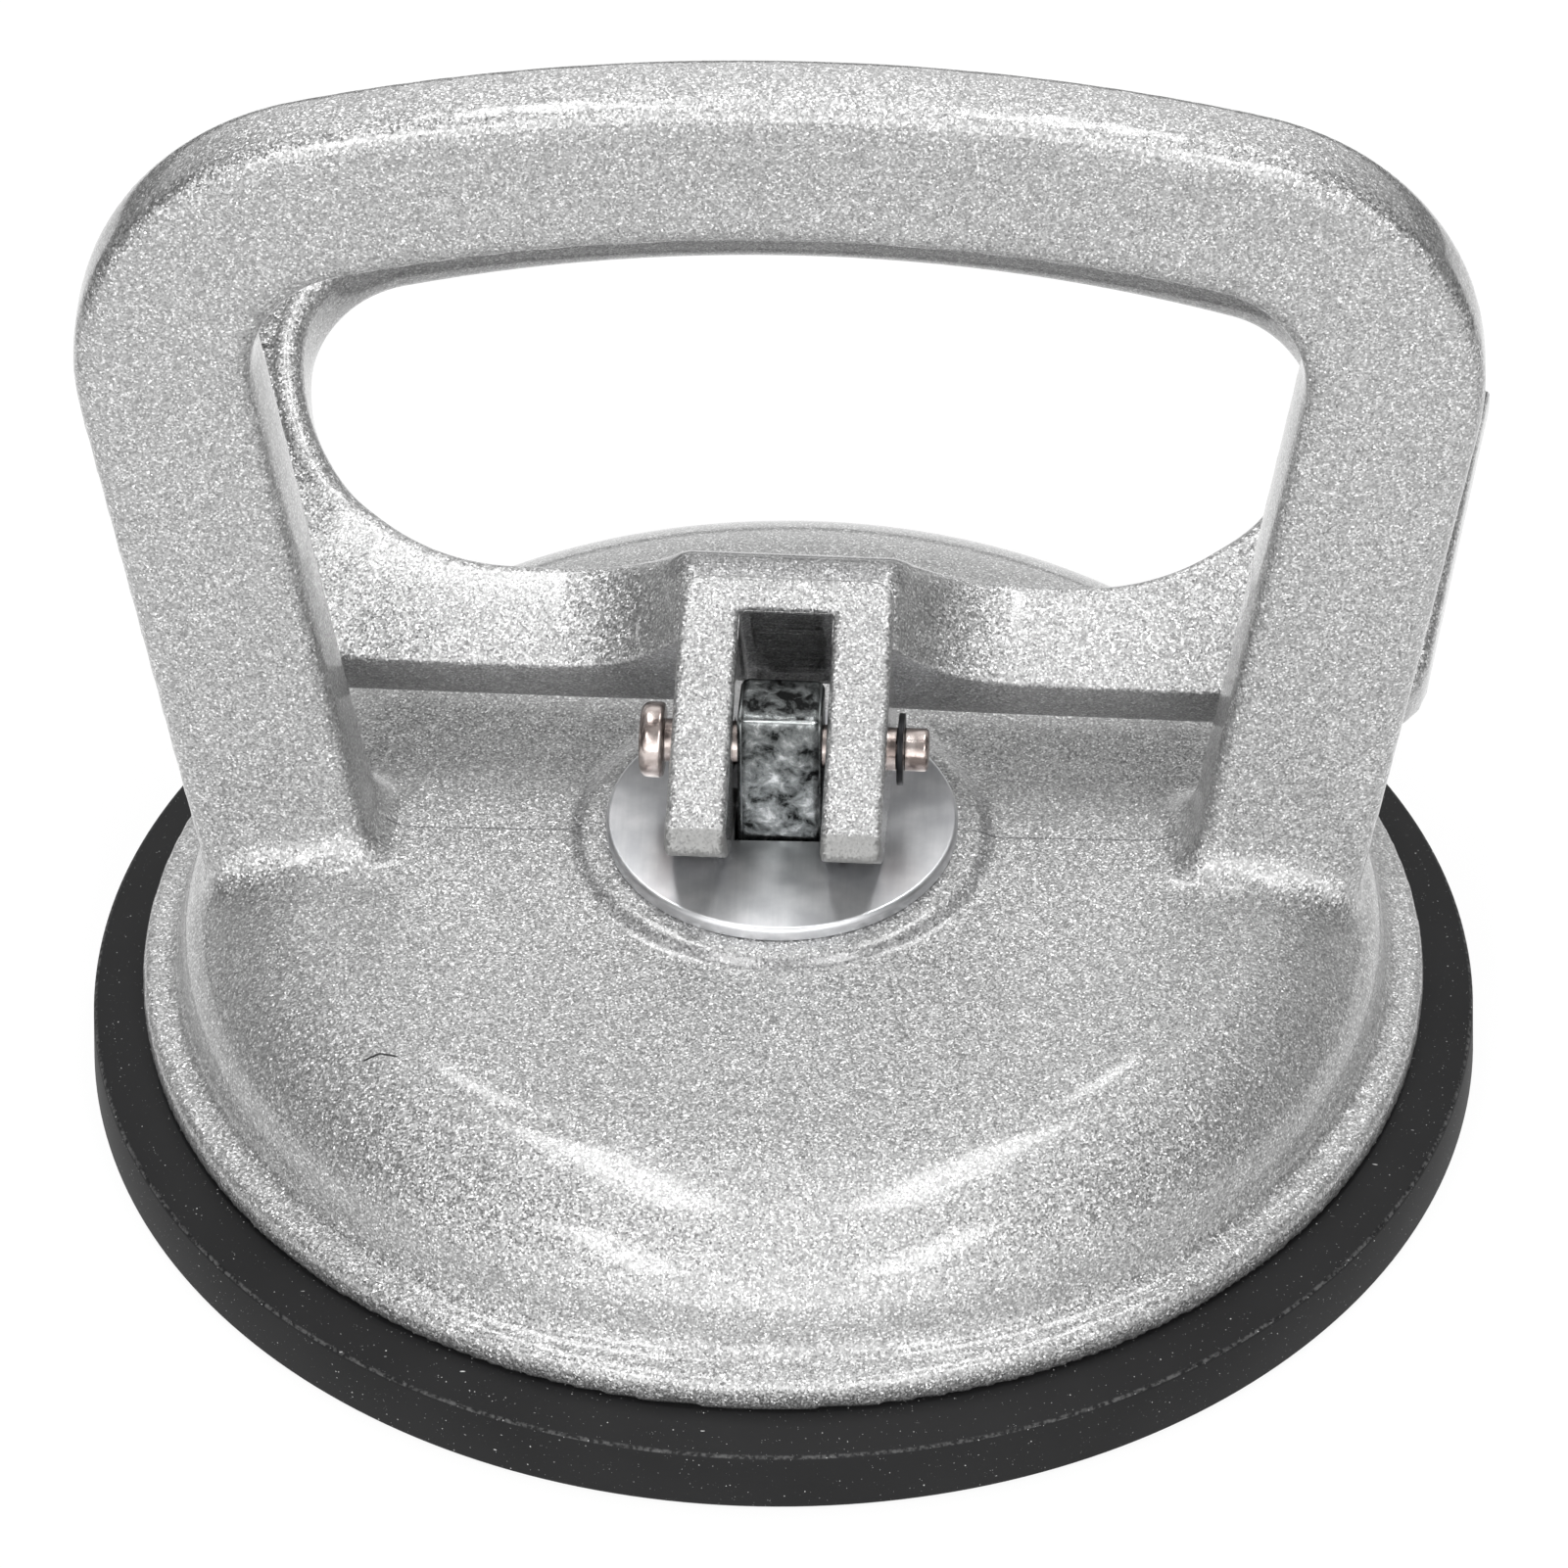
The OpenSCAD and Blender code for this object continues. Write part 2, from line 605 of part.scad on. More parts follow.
module fork_solid() {
    intersection() {
        rotate([90, 0, 90])
            linear_extrude(height = fork_w, center = true)
                fork_profile();
        translate([0, hub_rear / 2, 0])
            linear_extrude(height = 2 * lever_top, center = true)
                rounded_rect(fork_w, hub_rear + 2 * fork_front, fork_edge_r);
    }
}

module fork_slot() {
    swing_r = norm([tang_over, tang_t / 2]) + swing_gap;
    translate([-half_slot, -fork_front - cut, -lever_top])
        cube([fork_slot_w, lever_rear + fork_front + 2 * cut, lever_top + fork_slot_top]);
    along_pin(2 * swing_r, -half_slot, half_slot);
}

module cam_lever() {
    color("silver")
        at_pin()
            rotate([-lever_lean, 0, 0])
                difference() {
                    union() {
                        lever_plate();
                        fork_solid();
                    }
                    fork_slot();
                    along_pin(bore_d, -fork_w, fork_w);
                }
}

base_casting();
rubber_disc();
insert_plate();
plunger_tang();
slotted_washer();
pivot_pin();
retaining_clip();
cam_lever();
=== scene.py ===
"""Looks of the hand suction lifter: lacquered castings, rubber disc, plated steel parts."""
import math

import bmesh
import bpy
from mathutils import Matrix, Vector


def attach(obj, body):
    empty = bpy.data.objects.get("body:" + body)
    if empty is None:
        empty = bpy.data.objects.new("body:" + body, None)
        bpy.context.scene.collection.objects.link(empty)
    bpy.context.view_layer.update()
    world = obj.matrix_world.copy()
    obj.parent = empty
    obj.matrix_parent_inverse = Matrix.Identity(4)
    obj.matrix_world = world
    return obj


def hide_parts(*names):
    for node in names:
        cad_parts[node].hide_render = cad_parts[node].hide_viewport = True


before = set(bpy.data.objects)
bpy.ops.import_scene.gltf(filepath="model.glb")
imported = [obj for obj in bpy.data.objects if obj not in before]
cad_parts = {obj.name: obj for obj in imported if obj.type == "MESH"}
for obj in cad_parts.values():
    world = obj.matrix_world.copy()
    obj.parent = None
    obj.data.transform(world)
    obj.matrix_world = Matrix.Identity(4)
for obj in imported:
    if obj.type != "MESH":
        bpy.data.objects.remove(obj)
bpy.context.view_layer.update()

MM = 0.001

# ------------------------------------------------------------------ sizes, in mm
RUBBER_D, RUBBER_T, RUBBER_FALL, RUBBER_DRAFT, SEAL_W, SEAL_DEPTH = 117.6, 6.1, 0.8, 0.3, 12, 0.7
PLATE_D, PLATE_T, COLLAR_W, COLLAR_GAP, COLLAR_FLARE = 46, 2.5, 3.5, 0.1, 1.2
RIM_D, LIP_H, LIP_EDGE_R, LIP_W = 108.4, 3, 0.8, 3.1
DOME_Z, SHOULDER_W, SHOULDER_H, DOME_WALL, SIDE_WALL = 20.5, 14.4, 9.4, 3.4, 4.4
SEAT_D, SEAT_H, SIDE_DRAFT, CAVITY_STEP = 33.2, 0.75, 0.4, 2
HANDLE_TOP, CROWN_R, CORNER_R, CORNER_X, LEG_LEAN = 96.7, 162, 23.4, 32.6, 8.7
GRIP_H, INNER_CROWN_R, INNER_CORNER_R, INNER_CORNER_X, INNER_LEAN = 13.4, 144, 9.5, 32, 8.8
HANDLE_T, FOOT_R, OUTER_FADE = 8.8, 3, 0.6
WASHER_T, PIN_RISE, PLUNGER_TURN = 1.3, 7.6, -2
TANG_W, TANG_T, TANG_EDGE_R, SLOT_GAP = 7, 6, 0.8, 0.4
LEVER_LEAN, LEVER_SWING, LIFT, CAM_GAP = 60, 40, 2, 0.06
LEVER_TOP, LEVER_CROWN_R, LEVER_CORNER_R, LEVER_CORNER_X = 61, 154, 20, 37.6
LEVER_SIDE_LEAN, LEVER_LOW_R, WING_LOW = 10, 4, 7.3
OPENING_LOW, OPENING_TOP, OPENING_HALF_W = 16.8, 49, 43
OPENING_CORNER_R, OPENING_LOW_R = 9.5, 19.2
LEVER_BACK, LEVER_T, SWEEP_X, SWEEP_R = 3.5, 8.6, 20, 12.4
FORK_W, FORK_SLOT_W, FORK_FRONT, FORK_TOP, FORK_SLOT_TOP = 17.8, 7.8, 4.5, 13.3, 10.2
TOE_R, TOE_BEVEL, TOE_TOP = 0.8, 0.35, -9.4
TANG_OVER, SWING_GAP, BITE, BORE_D = 4.9, 0.6, 0.3, 3.7
WASHER_D, STUD_D, STUD_LEN, PIN_D, PIN_FLOAT, PIN_TAIL = 29.4, 4.8, 2.2, 3.6, 0.8, 2
HEAD_D, HEAD_T, CLIP_T, GROOVE_D = 6.3, 2, 0.5, 2.8

SIDE_R = RIM_D / 2 - LIP_W
SHELF_Z = RUBBER_T + LIP_H
SHOULDER_R = SIDE_R - SHOULDER_W
SHOULDER_RX = SHOULDER_W - SIDE_DRAFT
SEAT_Z = DOME_Z + SEAT_H
WASHER_Z = SEAT_Z + WASHER_T
PIN_Z = WASHER_Z + PIN_RISE
CAVITY_Z = DOME_Z - DOME_WALL
CAVITY_R = SIDE_R - SIDE_WALL
COLLAR_TOP = RUBBER_T + PLATE_T
LEG_Z = SHELF_Z + 1
LEVER_REAR = LEVER_BACK + LEVER_T
HUB_REAR = LEVER_REAR - BITE
CLIP_X = FORK_W / 2 + PIN_FLOAT


def cosd(a):
    return math.cos(math.radians(a))


def sind(a):
    return math.sin(math.radians(a))


def tand(a):
    return math.tan(math.radians(a))


def blend(a, b, f):
    """The value a share f of the way from a to b."""
    return a + (b - a) * f


def ease(f):
    """A smooth step: 0 below 0, 1 above 1, level at both ends."""
    f = min(1, max(0, f))
    return f * f * (3 - 2 * f)


# ------------------------------------------------------------------ mesh tools

def next_ring(bm, ring, places, closed=True):
    """Extrudes a ring of vertices to new places."""
    pairs = list(zip(ring, ring[1:] + ring[:1])) if closed else list(zip(ring, ring[1:]))
    edges = [bm.edges.get(pair) for pair in pairs]
    made = bmesh.ops.extrude_edge_only(bm, edges=edges)["geom"]
    fresh = {v for v in made if isinstance(v, bmesh.types.BMVert)}
    out = []
    for v, place in zip(ring, places):
        far = next(e.other_vert(v) for e in v.link_edges if e.other_vert(v) in fresh)
        far.co = place
        out.append(far)
    return out


def loft(rings, loop=False):
    """Skins rings of points one after another; an open row of rings gets its ends closed."""
    bm = bmesh.new()
    first = [bm.verts.new(p) for p in rings[0]]
    for a, b in zip(first, first[1:] + first[:1]):
        bm.edges.new((a, b))
    ring = first
    for places in rings[1:]:
        ring = next_ring(bm, ring, places)
    if loop:
        pairs = [list(zip(r, r[1:] + r[:1])) for r in (first, ring)]
        bmesh.ops.bridge_loops(bm, edges=[bm.edges.get(p) for pair in pairs for p in pair])
    else:
        for end in (first, ring):
            edges = [bm.edges.get(p) for p in zip(end, end[1:] + end[:1])]
            bmesh.ops.contextual_create(bm, geom=end + edges)
    return bm


def lathe(points, steps=192):
    """Spins a profile of (radius, height) points about the upright axis."""
    bm = bmesh.new()
    verts = [bm.verts.new((r, 0, z)) for r, z in points]
    edges = [bm.edges.new(p) for p in zip(verts, verts[1:])]
    bmesh.ops.spin(bm, geom=verts + edges, cent=(0, 0, 0), axis=(0, 0, 1),
                   angle=math.tau, steps=steps, use_merge=True)
    bmesh.ops.remove_doubles(bm, verts=bm.verts[:], dist=0.0005)
    return bm


def rounded(points, radii, segments=5):
    """A path of points with its corners rounded; radii holds each corner's radius."""
    out = []
    for i, (p, r) in enumerate(zip(points, radii)):
        p = Vector(p)
        if not r:
            out.append(tuple(p))
            continue
        a, b = Vector(points[i - 1]) - p, Vector(points[i + 1]) - p
        half = a.angle(b) / 2
        reach = r / math.tan(half)
        start, end = p + a.normalized() * reach, p + b.normalized() * reach
        centre = p + (a.normalized() + b.normalized()).normalized() * (r / math.sin(half))
        u, w = start - centre, end - centre
        turn = math.atan2(u.x * w.y - u.y * w.x, u.dot(w))
        for k in range(segments + 1):
            t = turn * k / segments
            out.append((centre.x + u.x * math.cos(t) - u.y * math.sin(t),
                        centre.y + u.x * math.sin(t) + u.y * math.cos(t)))
    return out


def prism(outline, x0, x1):
    """A (y, z) outline made a solid from x0 to x1."""
    bm = bmesh.new()
    verts = [bm.verts.new((x0, y, z)) for y, z in outline]
    face = bm.faces.new(verts)
    made = bmesh.ops.extrude_face_region(bm, geom=[face])["geom"]
    far = [g for g in made if isinstance(g, bmesh.types.BMVert)]
    bmesh.ops.translate(bm, verts=far, vec=(x1 - x0, 0, 0))
    bmesh.ops.recalc_face_normals(bm, faces=bm.faces[:])
    return bm


def block(size, centre):
    """A rectangular block."""
    bm = bmesh.new()
    bmesh.ops.create_cube(bm, size=1)
    bmesh.ops.scale(bm, vec=size, verts=bm.verts[:])
    bmesh.ops.translate(bm, vec=centre, verts=bm.verts[:])
    return bm


def rod(d, length, matrix):
    """A round bar, its middle and its length set by the matrix."""
    bm = bmesh.new()
    bmesh.ops.create_cone(bm, cap_ends=True, segments=64, radius1=d / 2, radius2=d / 2,
                          depth=length, matrix=matrix)
    return bm


def finished(bm, *steps):
    """Runs a bmesh through modifiers, each a (kind, settings) pair, and returns the result."""
    mesh = bpy.data.meshes.new("tmp")
    bmesh.ops.recalc_face_normals(bm, faces=bm.faces[:])
    bm.to_mesh(mesh)
    bm.free()
    o = bpy.data.objects.new("tmp", mesh)
    bpy.context.scene.collection.objects.link(o)
    for kind, settings in steps:
        mod = o.modifiers.new(kind, kind)
        for key, value in settings.items():
            setattr(mod, key, value)
    out = bmesh.new()
    out.from_object(o, bpy.context.evaluated_depsgraph_get())
    bpy.data.objects.remove(o)
    bpy.data.meshes.remove(mesh)
    return out


def cut(target, tool):
    """Cuts one bmesh by another and returns the result."""
    mesh = bpy.data.meshes.new("tool")
    bmesh.ops.recalc_face_normals(tool, faces=tool.faces[:])
    tool.to_mesh(mesh)
    tool.free()
    o = bpy.data.objects.new("tool", mesh)
    bpy.context.scene.collection.objects.link(o)
    out = finished(target, ("BOOLEAN", {"operation": "DIFFERENCE", "object": o, "solver": "EXACT"}))
    bpy.data.objects.remove(o)
    bpy.data.meshes.remove(mesh)
    return out


def cast_as_one(bm, grain, passes):
    """Fuses overlapping solids into one skin and softens it the way a casting's corners run."""
    return finished(bm, ("REMESH", {"mode": "VOXEL", "voxel_size": grain}),
                    ("SMOOTH", {"factor": 0.5, "iterations": passes}))


def join(*parts):
    """Joins bmeshes into one."""
    out = parts[0]
    for bm in parts[1:]:
        mesh = bpy.data.meshes.new("tmp")
        bm.to_mesh(mesh)
        bm.free()
        out.from_mesh(mesh)
        bpy.data.meshes.remove(mesh)
    return out


def piece(name, bm, body, material, replaces=(), sharp=32):
    """Makes a bmesh in millimetres a piece of the object."""
    bmesh.ops.scale(bm, vec=(MM, MM, MM), verts=bm.verts[:])
    mesh = bpy.data.meshes.new(name)
    bm.to_mesh(mesh)
    bm.free()
    for p in mesh.polygons:
        p.use_smooth = True
    mesh.set_sharp_from_angle(angle=math.radians(sharp))
    mesh.materials.append(material)
    o = bpy.data.objects.new(name, mesh)
    bpy.context.scene.collection.objects.link(o)
    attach(o, body)
    if replaces:
        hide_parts(*replaces)
    return o


# ------------------------------------------------------------------ materials

def linear(code):
    """sRGB hex to a linear colour."""
    parts = [int(code[i:i + 2], 16) / 255 for i in (1, 3, 5)]
    return [c / 12.92 if c <= 0.04045 else ((c + 0.055) / 1.055) ** 2.4 for c in parts] + [1]


def add(tree, kind, *inputs, stops=(), **settings):
    """Adds a node and returns its outputs. The kind may be followed by its operation. An input is
    another node's output, a number, a vector or a hex colour, given in the sockets' order, by the
    socket's name or, as i6, by its number. Any other setting is the node's own. stops are a
    ramp's (position, hex colour) pairs."""
    kind, _, operation = kind.partition(" ")
    node = tree.nodes.new("ShaderNode" + kind)
    if operation:
        node.operation = operation
    given = dict(enumerate(inputs))
    names = [socket.name for socket in node.inputs]
    for key, setting in settings.items():
        if hasattr(node, key):
            setattr(node, key, setting)
        elif key[0] == "i" and key[1:].isdigit():
            given[int(key[1:])] = setting
        else:
            given[names.index(key.replace("_", " "))] = setting
    for number, source in given.items():
        if isinstance(source, bpy.types.NodeSocket):
            tree.links.new(source, node.inputs[number])
        else:
            node.inputs[number].default_value = linear(source) if isinstance(source, str) else source
    if stops:
        while len(node.color_ramp.elements) < len(stops):
            node.color_ramp.elements.new(0.5)
        for element, (position, code) in zip(node.color_ramp.elements, stops):
            element.position, element.color = position, linear(code)
    return node.outputs


def new_material(name, **settings):
    """A material with its shader's own sockets set. Returns it with its tree, its shader and the
    place on the object in millimetres, so that every pattern is drawn to a real size."""
    material = bpy.data.materials.new(name)
    material.use_nodes = True
    tree = material.node_tree
    shader = tree.nodes["Principled BSDF"]
    for key, setting in settings.items():
        shader.inputs[key.replace("_", " ")].default_value = setting
    place = add(tree, "VectorMath SCALE", add(tree, "TexCoord")["Object"], Scale=1 / MM)[0]
    return material, tree, shader, place


def plug(tree, shader, **sources):
    """Links node outputs to the shader's sockets."""
    for key, source in sources.items():
        tree.links.new(source, shader.inputs[key.replace("_", " ")])


def band(tree, source, low, high, soft):
    """A mask: 1 where source lies between low and high, fading to 0 over soft."""
    rise = add(tree, "MapRange", source, From_Min=low - soft, From_Max=low)[0]
    fall = add(tree, "MapRange", source, From_Min=high, From_Max=high + soft, To_Min=1, To_Max=0)[0]
    return add(tree, "Math MULTIPLY", rise, fall)[0]


def marked(tree, colour, mark, share, *masks):
    """A colour with a mark of another colour, at most by share, where all the masks are 1."""
    for mask in masks:
        share = add(tree, "Math MULTIPLY", share, mask)[0]
    return add(tree, "Mix", share, data_type="RGBA", i6=colour, i7=mark)[2]


def from_axis(tree, x, y):
    """Distance from the upright axis."""
    return add(tree, "VectorMath LENGTH", add(tree, "CombineXYZ", x, y)[0])["Value"]


# The grain of the lacquer; a flake is drawn twice its true width, so that it shows
FLAKE_W, FLAKE_TIP = 0.15, 0.7


def flakes(tree, place):
    """Colour and tipped normal of the flakes. Each flake has its own shade and lies a little out
    of line, so it catches the lamps by itself."""
    cell = add(tree, "TexVoronoi", place, Scale=1 / FLAKE_W)["Color"]
    shade = add(tree, "Math MULTIPLY", add(tree, "SeparateColor", cell)["Red"], 7)[0]
    shade = add(tree, "Math FRACT", shade)[0]
    tone = add(tree, "ValToRGB", shade,
               stops=[(0, "#949494"), (0.4, "#aeaeae"), (0.8, "#c6c6c6"), (1, "#fafafa")])["Color"]
    tip = add(tree, "VectorMath SUBTRACT", cell, (0.5, 0.5, 0.5))[0]
    tip = add(tree, "VectorMath SCALE", tip, Scale=FLAKE_TIP)[0]
    tipped = add(tree, "VectorMath ADD", add(tree, "NewGeometry")["Normal"], tip)[0]
    return tone, add(tree, "VectorMath NORMALIZE", tipped)[0]


def flake_lacquer():
    """Silver lacquer full of aluminium flakes under a clear coat, sprayed over the body casting.
    The coat gives the long soft lights on the shoulder, the flakes the grain of the flat faces.
    A faint dark line on each side of the washer is where the two halves of the die met, and a
    small dark nick on the left shoulder is where the lacquer chipped."""
    material, tree, shader, place = new_material(
        "flake_lacquer", Metallic=0.85, Roughness=0.45, Coat_Weight=1.0, Coat_Roughness=0.12)
    colour, tipped = flakes(tree, place)
    x, y, z = add(tree, "SeparateXYZ", place)
    under_washer = SEAT_Z - 0.05
    side = add(tree, "Math ABSOLUTE", x)[0]
    colour = marked(tree, colour, "#505052", 0.6, band(tree, y, -0.06, 0.06, 0.08),
                    band(tree, side, SEAT_D / 2 - 0.1, 40, 3), band(tree, z, 10, under_washer, 0.5))
    # Painted shade: a dark ring in the crease at the foot of the washer's raised seat
    seat_foot = SEAT_D / 2 + SEAT_H
    colour = marked(tree, colour, "#505052", 0.4,
                    band(tree, from_axis(tree, x, y), seat_foot - 0.55, seat_foot + 0.15, 0.4),
                    band(tree, z, DOME_Z - 1, under_washer, 0.2))
    # The nick is a line 0.2 mm wide, bent where x is -31.6
    bend = add(tree, "Math ABSOLUTE", add(tree, "Math ADD", x, 31.6)[0])[0]
    bent = add(tree, "Math MULTIPLY_ADD", bend, 0.35, y)[0]
    colour = marked(tree, colour, "#0e0e10", 1, band(tree, x, -32.8, -30.3, 0.3),
                    band(tree, bent, -27.84, -27.68, 0.06))
    plug(tree, shader, Base_Color=colour, Normal=tipped)
    return material


def worn_lacquer_and_painted_light():
    """The same lacquer on the lever, with painted shade where the lever faces down and in the hollow
    over the fork. It is worn to the bare casting at the tips of the two cams. A broken white line
    in the slot is the edge of the die's core, painted as a highlight."""
    material, tree, shader, place = new_material("worn_lacquer_and_painted_light", Metallic=0.85, Coat_Roughness=0.12)
    colour, tipped = flakes(tree, place)
    from_pin = add(tree, "VectorMath SUBTRACT", place, (0, 0, PIN_Z))[0]
    along, across = (
        add(tree, "VectorMath DOT_PRODUCT", from_pin,
            (-y * sind(PLUNGER_TURN), y * cosd(PLUNGER_TURN), z))["Value"]
        for y, z in ((sind(LEVER_LEAN), cosd(LEVER_LEAN)), (cosd(LEVER_LEAN), -sind(LEVER_LEAN))))
    cloud = add(tree, "TexNoise", place, Scale=1 / 1.1111, Detail=3)["Fac"]
    broken = add(tree, "Math GREATER_THAN", cloud, 0.47)[0]
    # Painted highlight: a broken white line along the die core's seam in the slot
    colour = marked(tree, colour, "#ffffff", 1, band(tree, across, 0.8, 0.9, 0.06),
                    band(tree, along, 9.5, 10.7, 0.1), broken)
    # Painted shade: faces that turn down are darkened
    down = add(tree, "VectorMath DOT_PRODUCT", add(tree, "TexCoord")["Normal"],
               (0, -sind(LEVER_LEAN), -cosd(LEVER_LEAN)))["Value"]
    painted_shade_facing_down = add(tree, "MapRange", down, From_Min=0.3, From_Max=0.8)[0]
    colour = marked(tree, colour, "#4c4c4e", 0.35, painted_shade_facing_down)
    # Painted shade: the hollow over the fork, between the prongs' top and the opening, is darkened
    width = add(tree, "Math ABSOLUTE", add(tree, "SeparateXYZ", place)["X"])[0]
    colour = marked(tree, colour, "#4c4c4e", 0.4, band(tree, width, 0, 9.5, 0.7),
                    band(tree, along, FORK_TOP + 0.3, OPENING_LOW - 0.8, 0.6))
    ragged = add(tree, "Math ADD", along, add(tree, "Math MULTIPLY_ADD", cloud, 0.6, -0.3)[0])[0]
    bare = add(tree, "MapRange", ragged, From_Min=TOE_TOP + 0.1, From_Max=TOE_TOP - 0.1)[0]
    plug(tree, shader, Base_Color=marked(tree, colour, "#a2a2a1", 1, bare), Normal=tipped,
         Roughness=add(tree, "Math MULTIPLY_ADD", bare, 0.15, 0.45)[0],
         Coat_Weight=add(tree, "Math MULTIPLY_ADD", bare, -0.9, 1)[0])
    return material


def moulded_rubber():
    """Pressed nitrile rubber: nearly black and dull, with pale specks of dust that stick to it and
    a fluffy pale line along its rounded upper edge, partly dust and partly a painted highlight."""
    material, tree, shader, place = new_material(
        "moulded_rubber", Roughness=0.6, Specular_IOR_Level=0.25)
    cloud = add(tree, "TexNoise", place, Scale=1 / 11.111, Detail=5)["Fac"]
    tone = add(tree, "ValToRGB", cloud, stops=[(0.3, "#131314"), (0.7, "#1a1a1b")])["Color"]
    # Each layer of dust: spacing in mm, largest speck as a share of it, share left out, stretch
    for spacing, size, left_out, stretch in ((0.47619, 0.13, 0.3, 1), (0.21739, 0.13, 0.4, 1),
                                             (0.66667, 0.09, 0.6, 0.2)):
        drawn = add(tree, "VectorMath MULTIPLY", place, (stretch, 1, 1))[0]
        cells = add(tree, "TexVoronoi", drawn, Scale=1 / spacing)
        red, green, blue = add(tree, "SeparateColor", cells["Color"])
        reach = add(tree, "Math MULTIPLY", blue, size)[0]
        tone = marked(tree, tone, "#d2d2d2", green,
                      add(tree, "Math LESS_THAN", cells["Distance"], reach)[0],
                      add(tree, "Math GREATER_THAN", red, left_out)[0])
    x, y, z = add(tree, "SeparateXYZ", place)
    top = RUBBER_T - RUBBER_FALL
    # Partly dust and partly a painted highlight: a pale broken line along the rounded upper edge
    dust_and_edge_highlight = add(tree, "TexNoise", place, Scale=1 / 0.38462, Detail=5)["Fac"]
    dust_and_edge_highlight = add(tree, "MapRange", dust_and_edge_highlight, From_Min=0.42, From_Max=0.62)[0]
    tone = marked(tree, tone, "#6c6c6c", 0.5, band(tree, z, top - 0.14, top, 0.06),
                  band(tree, from_axis(tree, x, y), RUBBER_D / 2 - 0.7, RUBBER_D / 2 + 1, 0.1), dust_and_edge_highlight)
    plug(tree, shader, Base_Color=tone)
    return material


def smooth_zinc():
    """Zinc-plated flat steel: blue-grey and satin, clouded where hands and the cams have worn it,
    with hair-fine scratches that run from front to back."""
    material, tree, shader, place = new_material("smooth_zinc", Metallic=1.0)
    cloud = add(tree, "TexNoise", place, Scale=1 / 3.8462, Detail=5)["Fac"]
    drawn = add(tree, "VectorMath MULTIPLY", place, (1, 0.06, 1))[0]
    hair = add(tree, "TexNoise", drawn, Scale=1 / 0.33333, Detail=3)["Fac"]
    mix = add(tree, "Math MULTIPLY_ADD", cloud, 0.86, add(tree, "Math MULTIPLY", hair, 0.14)[0])[0]
    tone = add(tree, "ValToRGB", mix, stops=[(0.38, "#cfd0d3"), (0.5, "#dbdcde"), (0.62, "#e8e8ea")])
    plug(tree, shader, Base_Color=tone["Color"],
         Roughness=add(tree, "Math MULTIPLY_ADD", mix, 0.2, 0.27)[0])
    return material


def patchy_zinc():
    """Zinc over rough cast steel: glossy, dark in the pits, pale where the zinc lies thick, with
    painted shade on its top and a painted highlight along its edges."""
    material, tree, shader, place = new_material("patchy_zinc", Metallic=1.0)
    x, y, z = add(tree, "SeparateXYZ", place)
    in_x, in_y = (add(tree, "Math SUBTRACT", size / 2, add(tree, "Math ABSOLUTE", axis)[0])[0]
                  for size, axis in ((TANG_W, x), (TANG_T, y)))
    in_z = add(tree, "Math SUBTRACT", PIN_Z + TANG_OVER, z)[0]
    # A point is near an edge when it lies near two of the block's faces
    near = [add(tree, "Math MAXIMUM", a, b)[0] for a, b in ((in_x, in_y), (in_x, in_z), (in_y, in_z))]
    near = add(tree, "Math MINIMUM", add(tree, "Math MINIMUM", near[0], near[1])[0], near[2])[0]
    # Painted highlight: the block's edges are painted bright
    painted_edge_highlight = add(tree, "MapRange", near, From_Min=0.34, From_Max=0.26)[0]
    cloud = add(tree, "TexNoise", place, Scale=1 / 1.6129, Detail=8, Roughness=0.66,
                Distortion=0.3)["Fac"]
    # Painted shade: the top face is darkened; the cloud gives the real pits
    top = add(tree, "MapRange", in_z, From_Min=0.6, From_Max=0.3)[0]
    pits_and_painted_shade = add(tree, "Math MULTIPLY_ADD", top, -0.1, cloud)[0]
    tone = add(tree, "ValToRGB", pits_and_painted_shade, stops=[
        (0.36, "#1b1c1c"), (0.45, "#636666"), (0.56, "#8b8e8e"), (0.68, "#cfd1d1")])["Color"]
    plug(tree, shader, Base_Color=marked(tree, tone, "#d9dede", 1, painted_edge_highlight),
         Roughness=add(tree, "Math MULTIPLY_ADD", cloud, -0.5, 0.5)[0],
         Normal=add(tree, "Bump", Height=cloud, Strength=0.35, Distance=0.3 * MM)[0])
    return material


def warm_nickel():
    """Nickel-plated turned pin: bright with a warm cast, worn darker in spots."""
    material, tree, shader, place = new_material("warm_nickel", Metallic=1.0, Roughness=0.22)
    cloud = add(tree, "TexNoise", place, Scale=1 / 1.4286, Detail=5)["Fac"]
    tone = add(tree, "ValToRGB", cloud, stops=[(0.36, "#7a6f6b"), (0.46, "#b3a6a1"), (0.65, "#d8cdc8")])
    plug(tree, shader, Base_Color=tone["Color"])
    return material


def blackened_steel():
    """Spring steel blackened in hot oil: nearly black with a faint sheen on its edges."""
    material, tree, shader, place = new_material("blackened_steel", Metallic=0.8, Roughness=0.35)
    cloud = add(tree, "TexNoise", place, Scale=1 / 1.1111, Detail=4)["Fac"]
    tone = add(tree, "ValToRGB", cloud, stops=[(0.3, "#161618"), (0.7, "#2a2a2c")])["Color"]
    plug(tree, shader, Base_Color=tone)
    return material


LACQUER, WORN_LACQUER_AND_PAINTED_LIGHT, RUBBER, ZINC, TANG_ZINC, NICKEL, BLACK = (
    flake_lacquer(), worn_lacquer_and_painted_light(), moulded_rubber(), smooth_zinc(), patchy_zinc(), warm_nickel(),
    blackened_steel())

# ------------------------------------------------------------------ outlines

# The round bead along the lever's opening: its middle lies in from the edge and behind the front
BEAD_R, BEAD_IN, BEAD_BEHIND, BEAD_TURN = 1.5, 1.55, 1, 138.2


